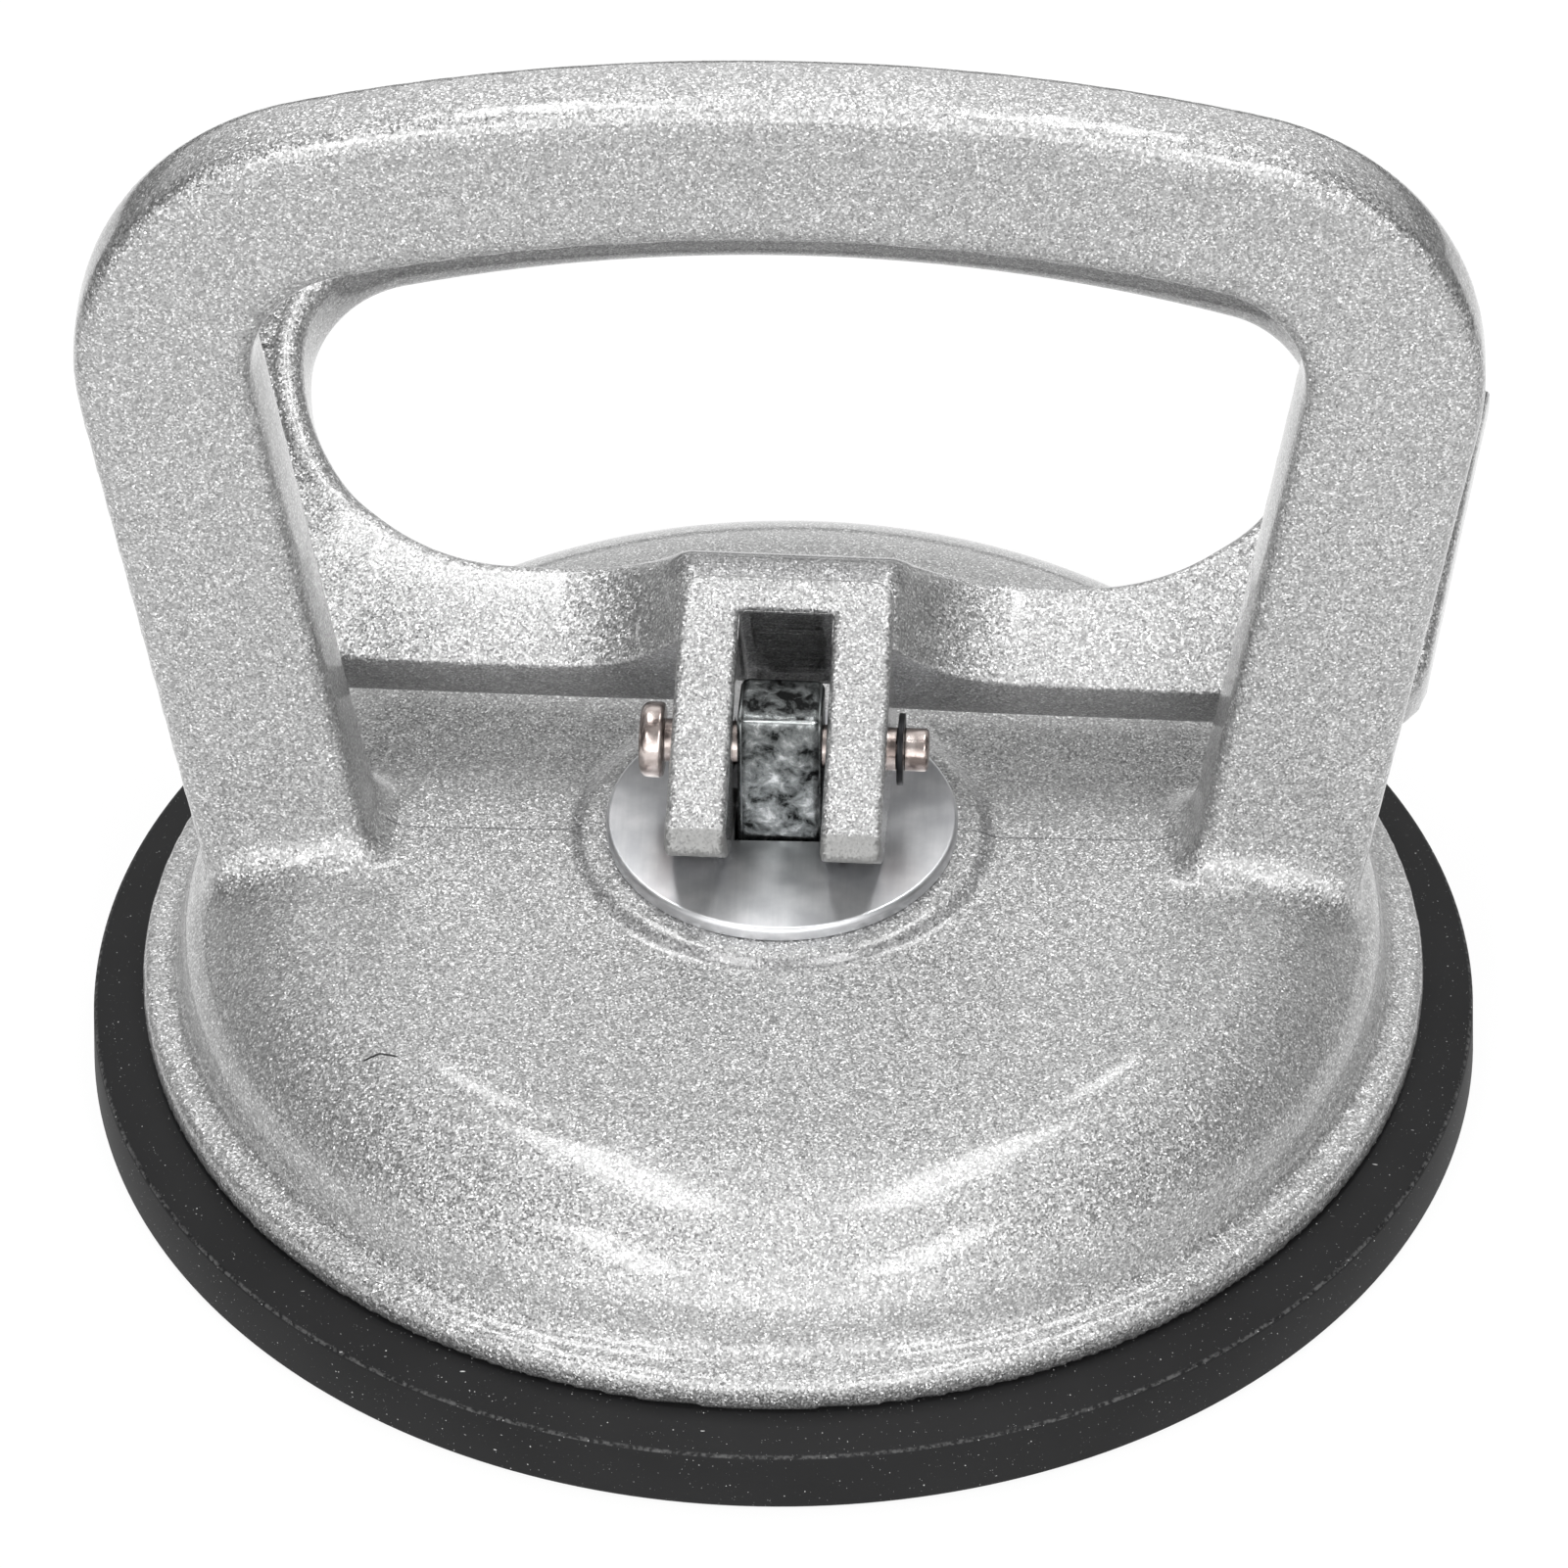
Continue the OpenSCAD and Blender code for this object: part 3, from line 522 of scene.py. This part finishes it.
def section(outer, inner, front, back, radii, draft=0, bead=0, steps=6):
    """Ring round a casting's cross-section. outer and inner are its (x, z) edges, front and back
    its y extent, radii the roundings at outer back, inner back, inner front and outer front.
    draft narrows it away from its middle; bead, from 0 to 1, raises the inner front edge to one."""
    o, n = Vector(outer), Vector(inner)
    w, middle, along = (o - n).length / 2, (o + n) / 2, (o - n).normalized()
    t, c = (back - front) / 2, (back + front) / 2
    ring = []

    def put(u, v):
        u -= math.copysign(draft * abs(v - c), u)
        ring.append((middle.x + along.x * u, v, middle.y + along.y * u))

    for k, r in enumerate(radii):
        su, sv = (1 if k in (0, 3) else -1), (1 if k < 2 else -1)
        count = 2 * steps if k == 2 else steps
        if k == 0:
            put(w, c)
        if k == 2:
            put(-w, c)
        for j in range(count + 1):
            f = j / count
            a = 90 * (k + f)
            u, v = su * (w - r) + r * cosd(a), c + sv * (t - r) + r * sind(a)
            if k == 2 and bead:
                a = 180 + BEAD_TURN * f
                u = blend(u, -w + BEAD_IN + BEAD_R * cosd(a), bead)
                v = blend(v, front + BEAD_BEHIND + BEAD_R * sind(a), bead)
            put(u, v)
    return ring


def crown_turn(r, rc, x):
    """Degrees that a crown of radius r turns before its corner of radius rc, centred x out."""
    return math.degrees(math.asin(x / (r - rc)))


def arch(top, r, rc, x, lean, part, f):
    """Half of an arched outline from its top middle: crown, corner, then a leaning side."""
    a = crown_turn(r, rc, x)
    cz = top - r + (r - rc) * cosd(a)
    if part == 0:
        return r * sind(a * f), top - r + r * cosd(a * f)
    if part == 1:
        g = 90 - a + (-lean - 90 + a) * f
        return x + rc * cosd(g), cz + rc * sind(g)
    px, pz = x + rc * cosd(lean), cz - rc * sind(lean)
    return px - (pz - LEG_Z) * tand(lean) * f, blend(pz, LEG_Z, f)


def mirror_x(p):
    """The point on the other side of the middle."""
    return (-p[0],) + tuple(p[1:])


# ------------------------------------------------------------------ body casting

# Edge radii in the order that section takes them
LEG_EDGE = (3, 1.4, 1.4, 1.5)
GRIP_EDGE = (3, 1.4, 1.4, 1.6)
CASTING_DRAFT, LEVER_DRAFT = 0.04, 0.03
# How fine the fused skin of each casting is, and how often it is smoothed
BODY_GRAIN, BODY_PASSES, FORK_GRAIN, FORK_PASSES = 0.635, 4, 0.2, 3


def handle_mesh():
    """The handle from foot to foot; its edges change from the grip's to the leg's in the corner."""
    rows = []
    for part, steps in enumerate((14, 22, 6)):
        for i in range(0 if part == 0 else 1, steps + 1):
            f = i / steps
            outer = arch(HANDLE_TOP, CROWN_R, CORNER_R, CORNER_X, LEG_LEAN, part, f)
            inner = arch(HANDLE_TOP - GRIP_H, INNER_CROWN_R, INNER_CORNER_R, INNER_CORNER_X,
                         INNER_LEAN, part, f)
            k = ease((part + f - 0.6) / 1.4)
            radii = [blend(g, l, k) for g, l in zip(GRIP_EDGE, LEG_EDGE)]
            rows.append((outer, inner, radii))
    rows = [(mirror_x(o), mirror_x(n), r) for o, n, r in rows[:0:-1]] + rows
    return loft([section(o, n, -HANDLE_T / 2, HANDLE_T / 2, r, draft=CASTING_DRAFT)
                 for o, n, r in rows])


def dome_height(r):
    """Height of the dome at radius r: flat, then the shoulder's quarter ellipse."""
    k = min(0.9995, max(0, (r - SHOULDER_R) / SHOULDER_RX))
    return DOME_Z - SHOULDER_H * (1 - math.sqrt(1 - k * k))


def ellipse(cx, cz, rx, rz, a0, a1, n):
    """Points along an ellipse from angle a0 to a1."""
    return [(cx + rx * cosd(blend(a0, a1, i / n)), cz + rz * sind(blend(a0, a1, i / n)))
            for i in range(n + 1)]


def tang_slot(height, z):
    """The slot that the tang runs in, as a solid to cut with."""
    return block((TANG_W + 2 * SLOT_GAP, TANG_T + 2 * SLOT_GAP, height), (0, 0, z))


def dome_mesh():
    """The dome with its seat, shoulder, shelf, lip and cavity, slotted for the tang."""
    cavity_h = min(SHOULDER_H, CAVITY_Z - RUBBER_T - 1)
    cavity_w = SHOULDER_W - CAVITY_STEP
    shoulder = ellipse(SHOULDER_R, DOME_Z - SHOULDER_H, SHOULDER_RX, SHOULDER_H, 90, 0, 36)
    lip_r = RIM_D / 2 - LIP_EDGE_R
    outer = rounded(
        [(SEAT_D / 2 - 3, SEAT_Z), (SEAT_D / 2, SEAT_Z), (SEAT_D / 2 + SEAT_H, DOME_Z),
         (SHOULDER_R, DOME_Z)], [0, 0.5, 0.6, 0])[:-1] + shoulder[:-1]
    foot = rounded([shoulder[-1], (SIDE_R, SHELF_Z), (lip_r, SHELF_Z)], [0, 0.8, 0], 6)[:-1]
    edge = ellipse(lip_r, SHELF_Z - LIP_EDGE_R, LIP_EDGE_R, LIP_EDGE_R, 90, 0, 10)
    inner = [(RIM_D / 2, RUBBER_T), (CAVITY_R, RUBBER_T)] + ellipse(
        CAVITY_R - cavity_w, CAVITY_Z - cavity_h, cavity_w, cavity_h, 0, 90, 20)
    profile = [(0, SEAT_Z)] + outer + foot + edge + inner + [(0, CAVITY_Z)]
    return cut(lathe(profile), tang_slot(12, DOME_Z))


def leg_point(k, z):
    """Point of a leg's outline at height z. k is its share of the way from the inner to the outer
    edge, its side (back 1, front -1), the way it faces in degrees, and the edge's radius there."""
    share, side, facing, r = k
    outer = arch(HANDLE_TOP, CROWN_R, CORNER_R, CORNER_X, LEG_LEAN, 2, 0)
    inner = arch(HANDLE_TOP - GRIP_H, INNER_CROWN_R, INNER_CORNER_R, INNER_CORNER_X, INNER_LEAN, 2, 0)
    x1 = outer[0] - (outer[1] - z) * tand(LEG_LEAN) - LEG_EDGE[3 if side < 0 else 0]
    x0 = inner[0] - (inner[1] - z) * tand(INNER_LEAN) + LEG_EDGE[1]
    return Vector((blend(x0, x1, share) + r * cosd(facing),
                   side * (HANDLE_T / 2 - r) + r * sind(facing)))


def foot_point(k, t):
    """Point of the fillet where a leg meets the dome, t degrees down its hollow."""
    facing = k[2]
    r = FOOT_R * (1 - OUTER_FADE * max(0, cosd(facing)))
    out = Vector((cosd(facing), sind(facing)))
    reach, rise = r * (1 - cosd(t)), r * (1 - sind(t))
    p = leg_point(k, dome_height(leg_point(k, DOME_Z + r).length) + r) + out * reach
    q = leg_point(k, dome_height(p.length) + rise) + out * reach
    return Vector((q.x, q.y, dome_height(q.length) + rise))


def foot_mesh(side):
    """The fillet round a leg's foot, from the leg's outline down to the dome."""
    n, m = 14, 8
    outer_back, inner_back, inner_front, outer_front = LEG_EDGE
    rim = [(1, 1, 90 * i / m, outer_back) for i in range(m + 1)]
    rim += [(1 - i / n, 1, 90, blend(outer_back, inner_back, i / n)) for i in range(1, n)]
    rim += [(0, 1, 90 + 90 * i / m, inner_back) for i in range(m + 1)]
    rim += [(0, -1, 180 + 90 * i / m, inner_front) for i in range(m + 1)]
    rim += [(i / n, -1, 270, blend(inner_front, outer_front, i / n)) for i in range(1, n)]
    rim += [(1, -1, 270 + 90 * i / m, outer_front) for i in range(m + 1)]
    rings = [[foot_point(k, t) for k in rim] for t in range(0, 91, 9)]
    top = [p + Vector((-BITE * cosd(k[2]), -BITE * sind(k[2]), BITE)) for p, k in zip(rings[0], rim)]
    low = [p + Vector((BITE * cosd(k[2]), BITE * sind(k[2]), -0.2)) for p, k in zip(rings[-1], rim)]
    rings = [[(side * p[0], p[1], p[2]) for p in ring] for ring in [top] + rings + [low]]
    return loft(rings)


def body_casting():
    """The casting's four overlapping shapes, fused finely enough for its 1.4 mm edges."""
    bm = join(dome_mesh(), handle_mesh(), foot_mesh(1), foot_mesh(-1))
    return piece("body_casting", cast_as_one(bm, BODY_GRAIN, BODY_PASSES), "base",
                 LACQUER, ["base_casting"], sharp=80)


# ------------------------------------------------------------------ rubber disc

def disc_rubber():
    """The disc with its seal lip below and the collar that grips the insert plate above."""
    r = RUBBER_D / 2
    pocket = PLATE_D / 2 + COLLAR_GAP
    profile = rounded(
        [(0, SEAL_DEPTH), (r - SEAL_W - SEAL_DEPTH, SEAL_DEPTH), (r - SEAL_W, 0), (r, 0),
         (r - RUBBER_DRAFT, RUBBER_T - RUBBER_FALL), (RIM_D / 2, RUBBER_T),
         (pocket + COLLAR_W + COLLAR_FLARE, RUBBER_T), (pocket + COLLAR_W, COLLAR_TOP),
         (pocket, COLLAR_TOP), (pocket, RUBBER_T), (0, RUBBER_T)],
        [0, 0.5, 0.5, 0.35, 0.5, 0.3, 0.5, 0.4, 0.2, 0.2, 0], 4)
    bm = lathe(profile, 256)
    bmesh.ops.recalc_face_normals(bm, faces=bm.faces[:])
    return piece("disc_rubber", bm, "base", RUBBER, ["rubber_disc"])


# ------------------------------------------------------------------ cam lever

CAM_R0 = PIN_RISE - CAM_GAP
CAM_RATE = LIFT / math.radians(LEVER_SWING)
SWEEP_FLAT, SWEEP_RISE = FORK_W / 2 + 0.1, 1.12
FORK_CORNER_R, FORK_EDGE_R = 1.9, 0.65
# Edge radii of the ring: at its back, at its front's outer edge, and at the front of its bottom
# bar, which swells with the sweep; then the bar's lower edge, on the wings and beside the fork
RING_BACK_R, RING_FRONT_R, BAR_FRONT_R, BAR_SWELL = 2.4, 1.3, 0.9, 0.37
WING_EDGE_R, HUB_EDGE_R, WING_FROM, WING_FADE = 2.2, 0.5, 41, 4


def sweep(x):
    """How far the lever's front swells forward at x to meet the fork."""
    d = max(0, SWEEP_X - max(abs(x), SWEEP_FLAT))
    return SWEEP_RISE * (SWEEP_R - math.sqrt(SWEEP_R ** 2 - d * d))


def lever_rows():
    """Half of the lever's closed outline, as (outer, inner, bead, bar) rows from its top middle."""
    low = Vector((OPENING_HALF_W - OPENING_LOW_R, OPENING_LOW + OPENING_LOW_R))
    turn = crown_turn(LEVER_CROWN_R, LEVER_CORNER_R, LEVER_CORNER_X)
    cz = LEVER_TOP - LEVER_CROWN_R + (LEVER_CROWN_R - LEVER_CORNER_R) * cosd(turn)
    lean = LEVER_SIDE_LEAN
    side = Vector((LEVER_CORNER_X + LEVER_CORNER_R * cosd(lean), cz - LEVER_CORNER_R * sind(lean)))
    foot_z = WING_LOW + LEVER_LOW_R
    foot = Vector((side.x - (side.y - foot_z) * tand(lean) - LEVER_LOW_R / cosd(lean), foot_z))
    d = foot - low
    foot_a = math.degrees(math.atan2(d.y, d.x))
    a1 = math.degrees(math.atan2(foot.y - LEVER_LOW_R * sind(lean) - low.y,
                                 foot.x + LEVER_LOW_R * cosd(lean) - low.x))
    a2 = math.degrees(math.atan2(WING_LOW - low.y, foot.x - low.x))

    def ray(a):
        """Reach from low to the lever's outer edge in direction a: side, corner or wing."""
        if a > a1:
            return (side.x - low.x - (side.y - low.y) * tand(lean)) / (cosd(a) - sind(a) * tand(lean))
        if a < a2:
            return (WING_LOW - low.y) / sind(a)
        along, aside = d.length * cosd(a - foot_a), d.length * sind(a - foot_a)
        return along + math.sqrt(LEVER_LOW_R ** 2 - aside ** 2)

    inner_x, inner_r = OPENING_HALF_W - OPENING_CORNER_R, LEVER_CROWN_R
    inner_turn = crown_turn(inner_r, OPENING_CORNER_R, inner_x)
    inner_z = OPENING_TOP - inner_r + (inner_r - OPENING_CORNER_R) * cosd(inner_turn)
    rows = []
    for i in range(15):
        a, b = turn * i / 14, inner_turn * i / 14
        rows.append(((LEVER_CROWN_R * sind(a), LEVER_TOP - LEVER_CROWN_R * (1 - cosd(a))),
                     (inner_r * sind(b), OPENING_TOP - inner_r * (1 - cosd(b))), 0.8, 0))
    for i in range(1, 21):
        f = 1 - i / 20
        a, b = (90 - turn) * f, (90 - inner_turn) * f
        rows.append(((LEVER_CORNER_X + LEVER_CORNER_R * cosd(a), cz + LEVER_CORNER_R * sind(a)),
                     (inner_x + OPENING_CORNER_R * cosd(b), inner_z + OPENING_CORNER_R * sind(b)), 1, 0))
    for i in range(41):
        a = -90 * i / 40
        t = ray(a)
        rows.append(((low.x + t * cosd(a), low.y + t * sind(a)),
                     (low.x + OPENING_LOW_R * cosd(a), low.y + OPENING_LOW_R * sind(a)),
                     1 - ease((-a - 22) / 28), ease((-a - 35) / 20)))
    for i in range(1, 29):
        x = blend(low.x, 0, i / 28)
        rows.append(((x, WING_LOW), (x, OPENING_LOW), 0, 1))
    return rows


def lever_plate():
    """The hand ring, swelling forward to the fork; its lower edges are the roundest behind the
    handle's legs, where they pass closest."""
    rows = lever_rows()
    rows = rows + [(mirror_x(o), mirror_x(n), b, k) for o, n, b, k in rows[-2:0:-1]]
    rings = []
    for outer, inner, bead, bar in rows:
        swept = sweep(outer[0]) if outer[1] == WING_LOW else 0
        front = LEVER_BACK - swept
        low = blend(WING_EDGE_R, HUB_EDGE_R, ease((WING_FROM - abs(outer[0])) / WING_FADE))
        radii = [RING_BACK_R, RING_BACK_R, blend(RING_BACK_R, BAR_FRONT_R + BAR_SWELL * swept, bar),
                 blend(RING_FRONT_R, low, bar)]
        rings.append(section(outer, inner, front, LEVER_REAR, radii, draft=LEVER_DRAFT, bead=bead))
    return loft(rings, loop=True)


def cam_point(turn):
    """Point of the involute cam that touches the washer after a turn of the lever."""
    lean, r = LEVER_LEAN - turn, CAM_R0 + CAM_RATE * math.radians(turn)
    return Vector((r * sind(lean) - CAM_RATE * cosd(lean), -r * cosd(lean) - CAM_RATE * sind(lean)))


def fork_outline():
    """The fork seen along the pin, as (y, z) points: cam, toe, face, bevel, top and back."""
    rest, last = cam_point(0), cam_point(LEVER_SWING)
    lock = LEVER_LEAN - LEVER_SWING
    heel_z = rest.y + (HUB_REAR - rest.x) * tand(LEVER_LEAN)
    toe_y = TOE_R + TOE_BEVEL - FORK_FRONT
    toe_z = last.y - (last.x - toe_y) * tand(lock) + TOE_R / cosd(lock)
    cam = [tuple(cam_point(LEVER_SWING * i / 40)) for i in range(41)]
    toe = [(toe_y + TOE_R * cosd(a), toe_z + TOE_R * sind(a))
           for a in (blend(270 + lock, 180, i / 8) for i in range(9))]
    return cam + toe + [(-FORK_FRONT, TOE_TOP), (-FORK_FRONT, FORK_TOP), (HUB_REAR, FORK_TOP),
                        (HUB_REAR, heel_z)]


def fork_mesh():
    """The two prongs, rounded at the top corners and round the front face."""
    half = FORK_W / 2
    bm = prism(fork_outline(), -half, half)
    for side in (-1, 1):
        corner = [e for e in bm.edges if all(abs(v.co.z - FORK_TOP) < 1e-4 and v.co.x * side > half - 0.1
                                             for v in e.verts)]
        bmesh.ops.bevel(bm, geom=corner, offset=FORK_CORNER_R, segments=8, profile=0.5,
                        affect="EDGES", material=-1)
    slot, *rounds = fork_cutters()
    bm = cut(bm, slot)
    front = [e for e in bm.edges if all(v.co.y < 1.6 - FORK_FRONT for v in e.verts)
             and e.calc_face_angle(0) > math.radians(35)]
    bmesh.ops.bevel(bm, geom=front, offset=FORK_EDGE_R, segments=4, profile=0.5,
                    affect="EDGES", material=-1)
    for tool in rounds:
        bm = cut(bm, tool)
    return cast_as_one(bm, FORK_GRAIN, FORK_PASSES)


# Turns an upright axis to lie along the pin
SIDEWAYS = Matrix.Rotation(math.radians(90), 4, "Y")


def fork_cutters():
    """The slot between the prongs, the round the tang swings in, and the pin's bore."""
    hs = FORK_SLOT_W / 2
    slot = [(-FORK_FRONT - 1, -30), (-FORK_FRONT - 1, FORK_SLOT_TOP), (LEVER_REAR + 1, FORK_SLOT_TOP),
            (LEVER_REAR + 1, -30)]
    swing = 2 * (math.hypot(TANG_OVER, TANG_T / 2) + SWING_GAP)
    return [prism(slot, -hs, hs), rod(swing, 2 * hs, SIDEWAYS), rod(BORE_D, 2 * FORK_W, SIDEWAYS)]


def at_pin():
    """Places a shape made about the pin, turned with the plunger."""
    return Matrix.Rotation(math.radians(PLUNGER_TURN), 4, "Z") @ Matrix.Translation((0, 0, PIN_Z))


def lever_casting():
    """The hand ring and the fork, lofted and bevelled by themselves and set into each other."""
    plate = lever_plate()
    for tool in fork_cutters():
        plate = cut(plate, tool)
    for name, bm in (("lever_ring", plate), ("lever_fork", fork_mesh())):
        bmesh.ops.transform(bm, verts=bm.verts[:],
                            matrix=at_pin() @ Matrix.Rotation(math.radians(-LEVER_LEAN), 4, "X"))
        piece(name, bm, "lever", WORN_LACQUER_AND_PAINTED_LIGHT, ["cam_lever"], sharp=50)


# ------------------------------------------------------------------ steel parts

def tang():
    """The upright block that the pin goes through, with its corners rounded, and its stud below."""
    top = PIN_Z + TANG_OVER
    bm = block((TANG_W, TANG_T, top - COLLAR_TOP), (0, 0, (top + COLLAR_TOP) / 2))
    edges = [e for e in bm.edges if any(v.co.z > COLLAR_TOP + 1 for v in e.verts)]
    bmesh.ops.bevel(bm, geom=edges, offset=TANG_EDGE_R, segments=6, profile=0.5,
                    affect="EDGES", material=-1)
    bmesh.ops.rotate(bm, verts=bm.verts[:], cent=(0, 0, 0),
                     matrix=Matrix.Rotation(math.radians(PLUNGER_TURN), 3, "Z"))
    bm = cut(bm, rod(BORE_D, 2 * FORK_W, at_pin() @ SIDEWAYS))
    stud = rod(STUD_D, STUD_LEN, Matrix.Translation((0, 0, COLLAR_TOP - STUD_LEN / 2)))
    return piece("tang", join(bm, stud), "plunger", TANG_ZINC, ["plunger_tang"])


def washer():
    """The washer, slotted for the tang."""
    r = WASHER_D / 2
    bm = lathe([(0, SEAT_Z)] + rounded(
        [(0, SEAT_Z), (r, SEAT_Z), (r, WASHER_Z), (0, WASHER_Z)], [0, 0.2, 0.4, 0], 5)[1:])
    bm = cut(bm, tang_slot(6, WASHER_Z))
    return piece("washer", bm, "base", ZINC, ["slotted_washer"])


def pin():
    """The turned pin with its head on the left and the clip's groove on the right."""
    head = -FORK_W / 2 - PIN_FLOAT
    groove = (CLIP_X - 0.05, CLIP_X + CLIP_T + 0.05)
    end = groove[1] + PIN_TAIL
    profile = rounded(
        [(0, head - HEAD_T), (HEAD_D / 2, head - HEAD_T), (HEAD_D / 2, head), (PIN_D / 2, head),
         (PIN_D / 2, groove[0]), (GROOVE_D / 2, groove[0]), (GROOVE_D / 2, groove[1]),
         (PIN_D / 2, groove[1]), (PIN_D / 2, end), (0, end)],
        [0, 0.8, 0.35, 0.15, 0.1, 0, 0, 0.1, 0.4, 0], 5)
    bm = lathe(profile, 96)
    bmesh.ops.recalc_face_normals(bm, faces=bm.faces[:])
    bmesh.ops.transform(bm, verts=bm.verts[:], matrix=at_pin() @ SIDEWAYS)
    return piece("pin", bm, "plunger", NICKEL, ["pivot_pin"])


def clip():
    """The clip's own solid with its edges eased."""
    bm = bmesh.new()
    bm.from_mesh(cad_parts["retaining_clip"].data)
    bmesh.ops.scale(bm, vec=(1 / MM,) * 3, verts=bm.verts[:])
    bmesh.ops.remove_doubles(bm, verts=bm.verts[:], dist=0.0005)
    bm = finished(bm, ("BEVEL", {"width": 0.08, "segments": 2, "limit_method": "ANGLE",
                                 "angle_limit": math.radians(40)}))
    return piece("clip", bm, "plunger", BLACK, ["retaining_clip"])


body_casting()
disc_rubber()
lever_casting()
tang()
washer()
pin()
clip()
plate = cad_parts["insert_plate"].data
plate.materials.clear()
plate.materials.append(ZINC)

# ------------------------------------------------------------------ stage, light and camera

def rays_of(tree, *kinds):
    """1 for the named kinds of ray."""
    rays = add(tree, "LightPath")
    seen = rays[kinds[0]]
    for kind in kinds[1:]:
        seen = add(tree, "Math MAXIMUM", seen, rays[kind])[0]
    return seen


# How brightly the paper floor shines of itself, and how much of that covers the shadow on it
FLOOR_GLOW, FLOOR_SHARE = 1.03, 0.88
# The studio round the object: a bright paper wall low in front, a pale ceiling and a dim wall
# behind; the sides are dark
FRONT_GLOW, CEILING_GLOW, BACK_GLOW = 3.0, 0.6, 1.25
CEILING_FROM, WALL_TOP = 0.4, 0.62

white = bpy.data.materials.new("paper_floor")
white.use_nodes = True
tree = white.node_tree
paper = tree.nodes["Principled BSDF"]
paper.inputs["Base Color"].default_value = linear("#f2f2f2")
paper.inputs["Roughness"].default_value = 0.9
seen = rays_of(tree, "Is Camera Ray", "Is Glossy Ray", "Is Transmission Ray")
share = add(tree, "Math MULTIPLY", seen, FLOOR_SHARE)[0]
glow = add(tree, "Emission", (1, 1, 1, 1), FLOOR_GLOW)[0]
cover = add(tree, "MixShader", share, paper.outputs[0], glow)[0]
tree.links.new(cover, tree.nodes["Material Output"].inputs["Surface"])
bm = bmesh.new()
bmesh.ops.create_grid(bm, x_segments=1, y_segments=1, size=0.25)
bmesh.ops.scale(bm, vec=(1, 1.6, 1), verts=bm.verts[:])
bmesh.ops.translate(bm, vec=(0, -0.15, 0), verts=bm.verts[:])
mesh = bpy.data.meshes.new("paper_floor")
bm.to_mesh(mesh)
bm.free()
mesh.materials.append(white)
floor = bpy.data.objects.new("paper_floor", mesh)
floor.location.z = -0.0002
bpy.context.scene.collection.objects.link(floor)

world = bpy.data.worlds.new("studio")
bpy.context.scene.world = world
world.use_nodes = True
tree = world.node_tree
x, y, z = add(tree, "SeparateXYZ", add(tree, "TexCoord")["Generated"])
ceiling = add(tree, "Math POWER", add(tree, "MapRange", z, From_Min=CEILING_FROM)[0], 1.6)[0]
low = add(tree, "MapRange", add(tree, "Math POWER", z, 2)[0], From_Min=WALL_TOP, From_Max=0)[0]
facing = add(tree, "Math MAXIMUM", add(tree, "Math MULTIPLY", y, -1)[0], 0)[0]
facing = add(tree, "Math MULTIPLY", add(tree, "Math POWER", facing, 2)[0], low)[0]
behind = add(tree, "Math POWER", add(tree, "Math MAXIMUM", y, 0)[0], 2)[0]
glow = add(tree, "Math MULTIPLY", facing, FRONT_GLOW)[0]
glow = add(tree, "Math MULTIPLY_ADD", behind, BACK_GLOW, glow)[0]
glow = add(tree, "Math MULTIPLY_ADD", ceiling, CEILING_GLOW, glow)[0]
glow = add(tree, "Math MULTIPLY", glow, add(tree, "Math GREATER_THAN", z, 0)[0])[0]
dim = add(tree, "Background", (1, 1, 1, 1), glow)[0]
bright = add(tree, "Background", (1, 1, 1, 1), 1)[0]
cover = add(tree, "MixShader", rays_of(tree, "Is Camera Ray", "Is Transmission Ray"), dim, bright)[0]
tree.links.new(cover, tree.nodes["World Output"].inputs["Surface"])
if "Background" in tree.nodes:
    tree.nodes.remove(tree.nodes["Background"])

TARGET = Vector((0.19, 0, 25.9)) * MM


def softbox(name, towards, distance, size, watts, slant=0):
    """A soft rectangular lamp aimed at the object, its long side running front to back,
    leaning to the right at the back by the slant."""
    data = bpy.data.lights.new(name, "AREA")
    data.shape, data.size, data.size_y, data.energy = "RECTANGLE", size[0], size[1], watts
    lamp = bpy.data.objects.new(name, data)
    bpy.context.scene.collection.objects.link(lamp)
    back = Vector(towards).normalized()
    across = Vector((slant, 1, 0)).cross(back).normalized()
    turned = Matrix((across, back.cross(across), back)).transposed().to_4x4()
    lamp.matrix_world = Matrix.Translation(TARGET + back * distance) @ turned
    return lamp


softbox("strip_left", (-0.22, 0.24, 0.95), 0.8, (0.11, 0.6), 1.75, -0.22)
softbox("strip_right", (0.23, 0.24, 0.95), 0.8, (0.11, 0.6), 1.75, 0.2)
softbox("box_left", (-0.37, -0.65, 0.66), 0.9, (0.15, 0.48), 1.8)
softbox("box_right", (0.38, -0.62, 0.68), 0.9, (0.15, 0.48), 1.8)

# The view: from the front, 39.6 degrees up, with a long lens
ELEVATION, AZIMUTH, ROLL, DISTANCE, LENS = 39.6, 2.3, -0.42, 600, 165.5
data = bpy.data.cameras.new("camera")
data.lens, data.sensor_width, data.clip_start, data.clip_end = LENS, 36, 0.01, 10
camera = bpy.data.objects.new("camera", data)
bpy.context.scene.collection.objects.link(camera)
back = Vector((sind(AZIMUTH) * cosd(ELEVATION), -cosd(AZIMUTH) * cosd(ELEVATION), sind(ELEVATION)))
right = Vector((cosd(AZIMUTH), sind(AZIMUTH), 0))
up = back.cross(right)
right, up = right * cosd(ROLL) + up * sind(ROLL), up * cosd(ROLL) - right * sind(ROLL)
turned = Matrix((right, up, back)).transposed().to_4x4()
camera.matrix_world = Matrix.Translation(TARGET + back * DISTANCE * MM) @ turned
bpy.context.scene.camera = camera
bpy.context.scene.view_settings.view_transform = "Standard"
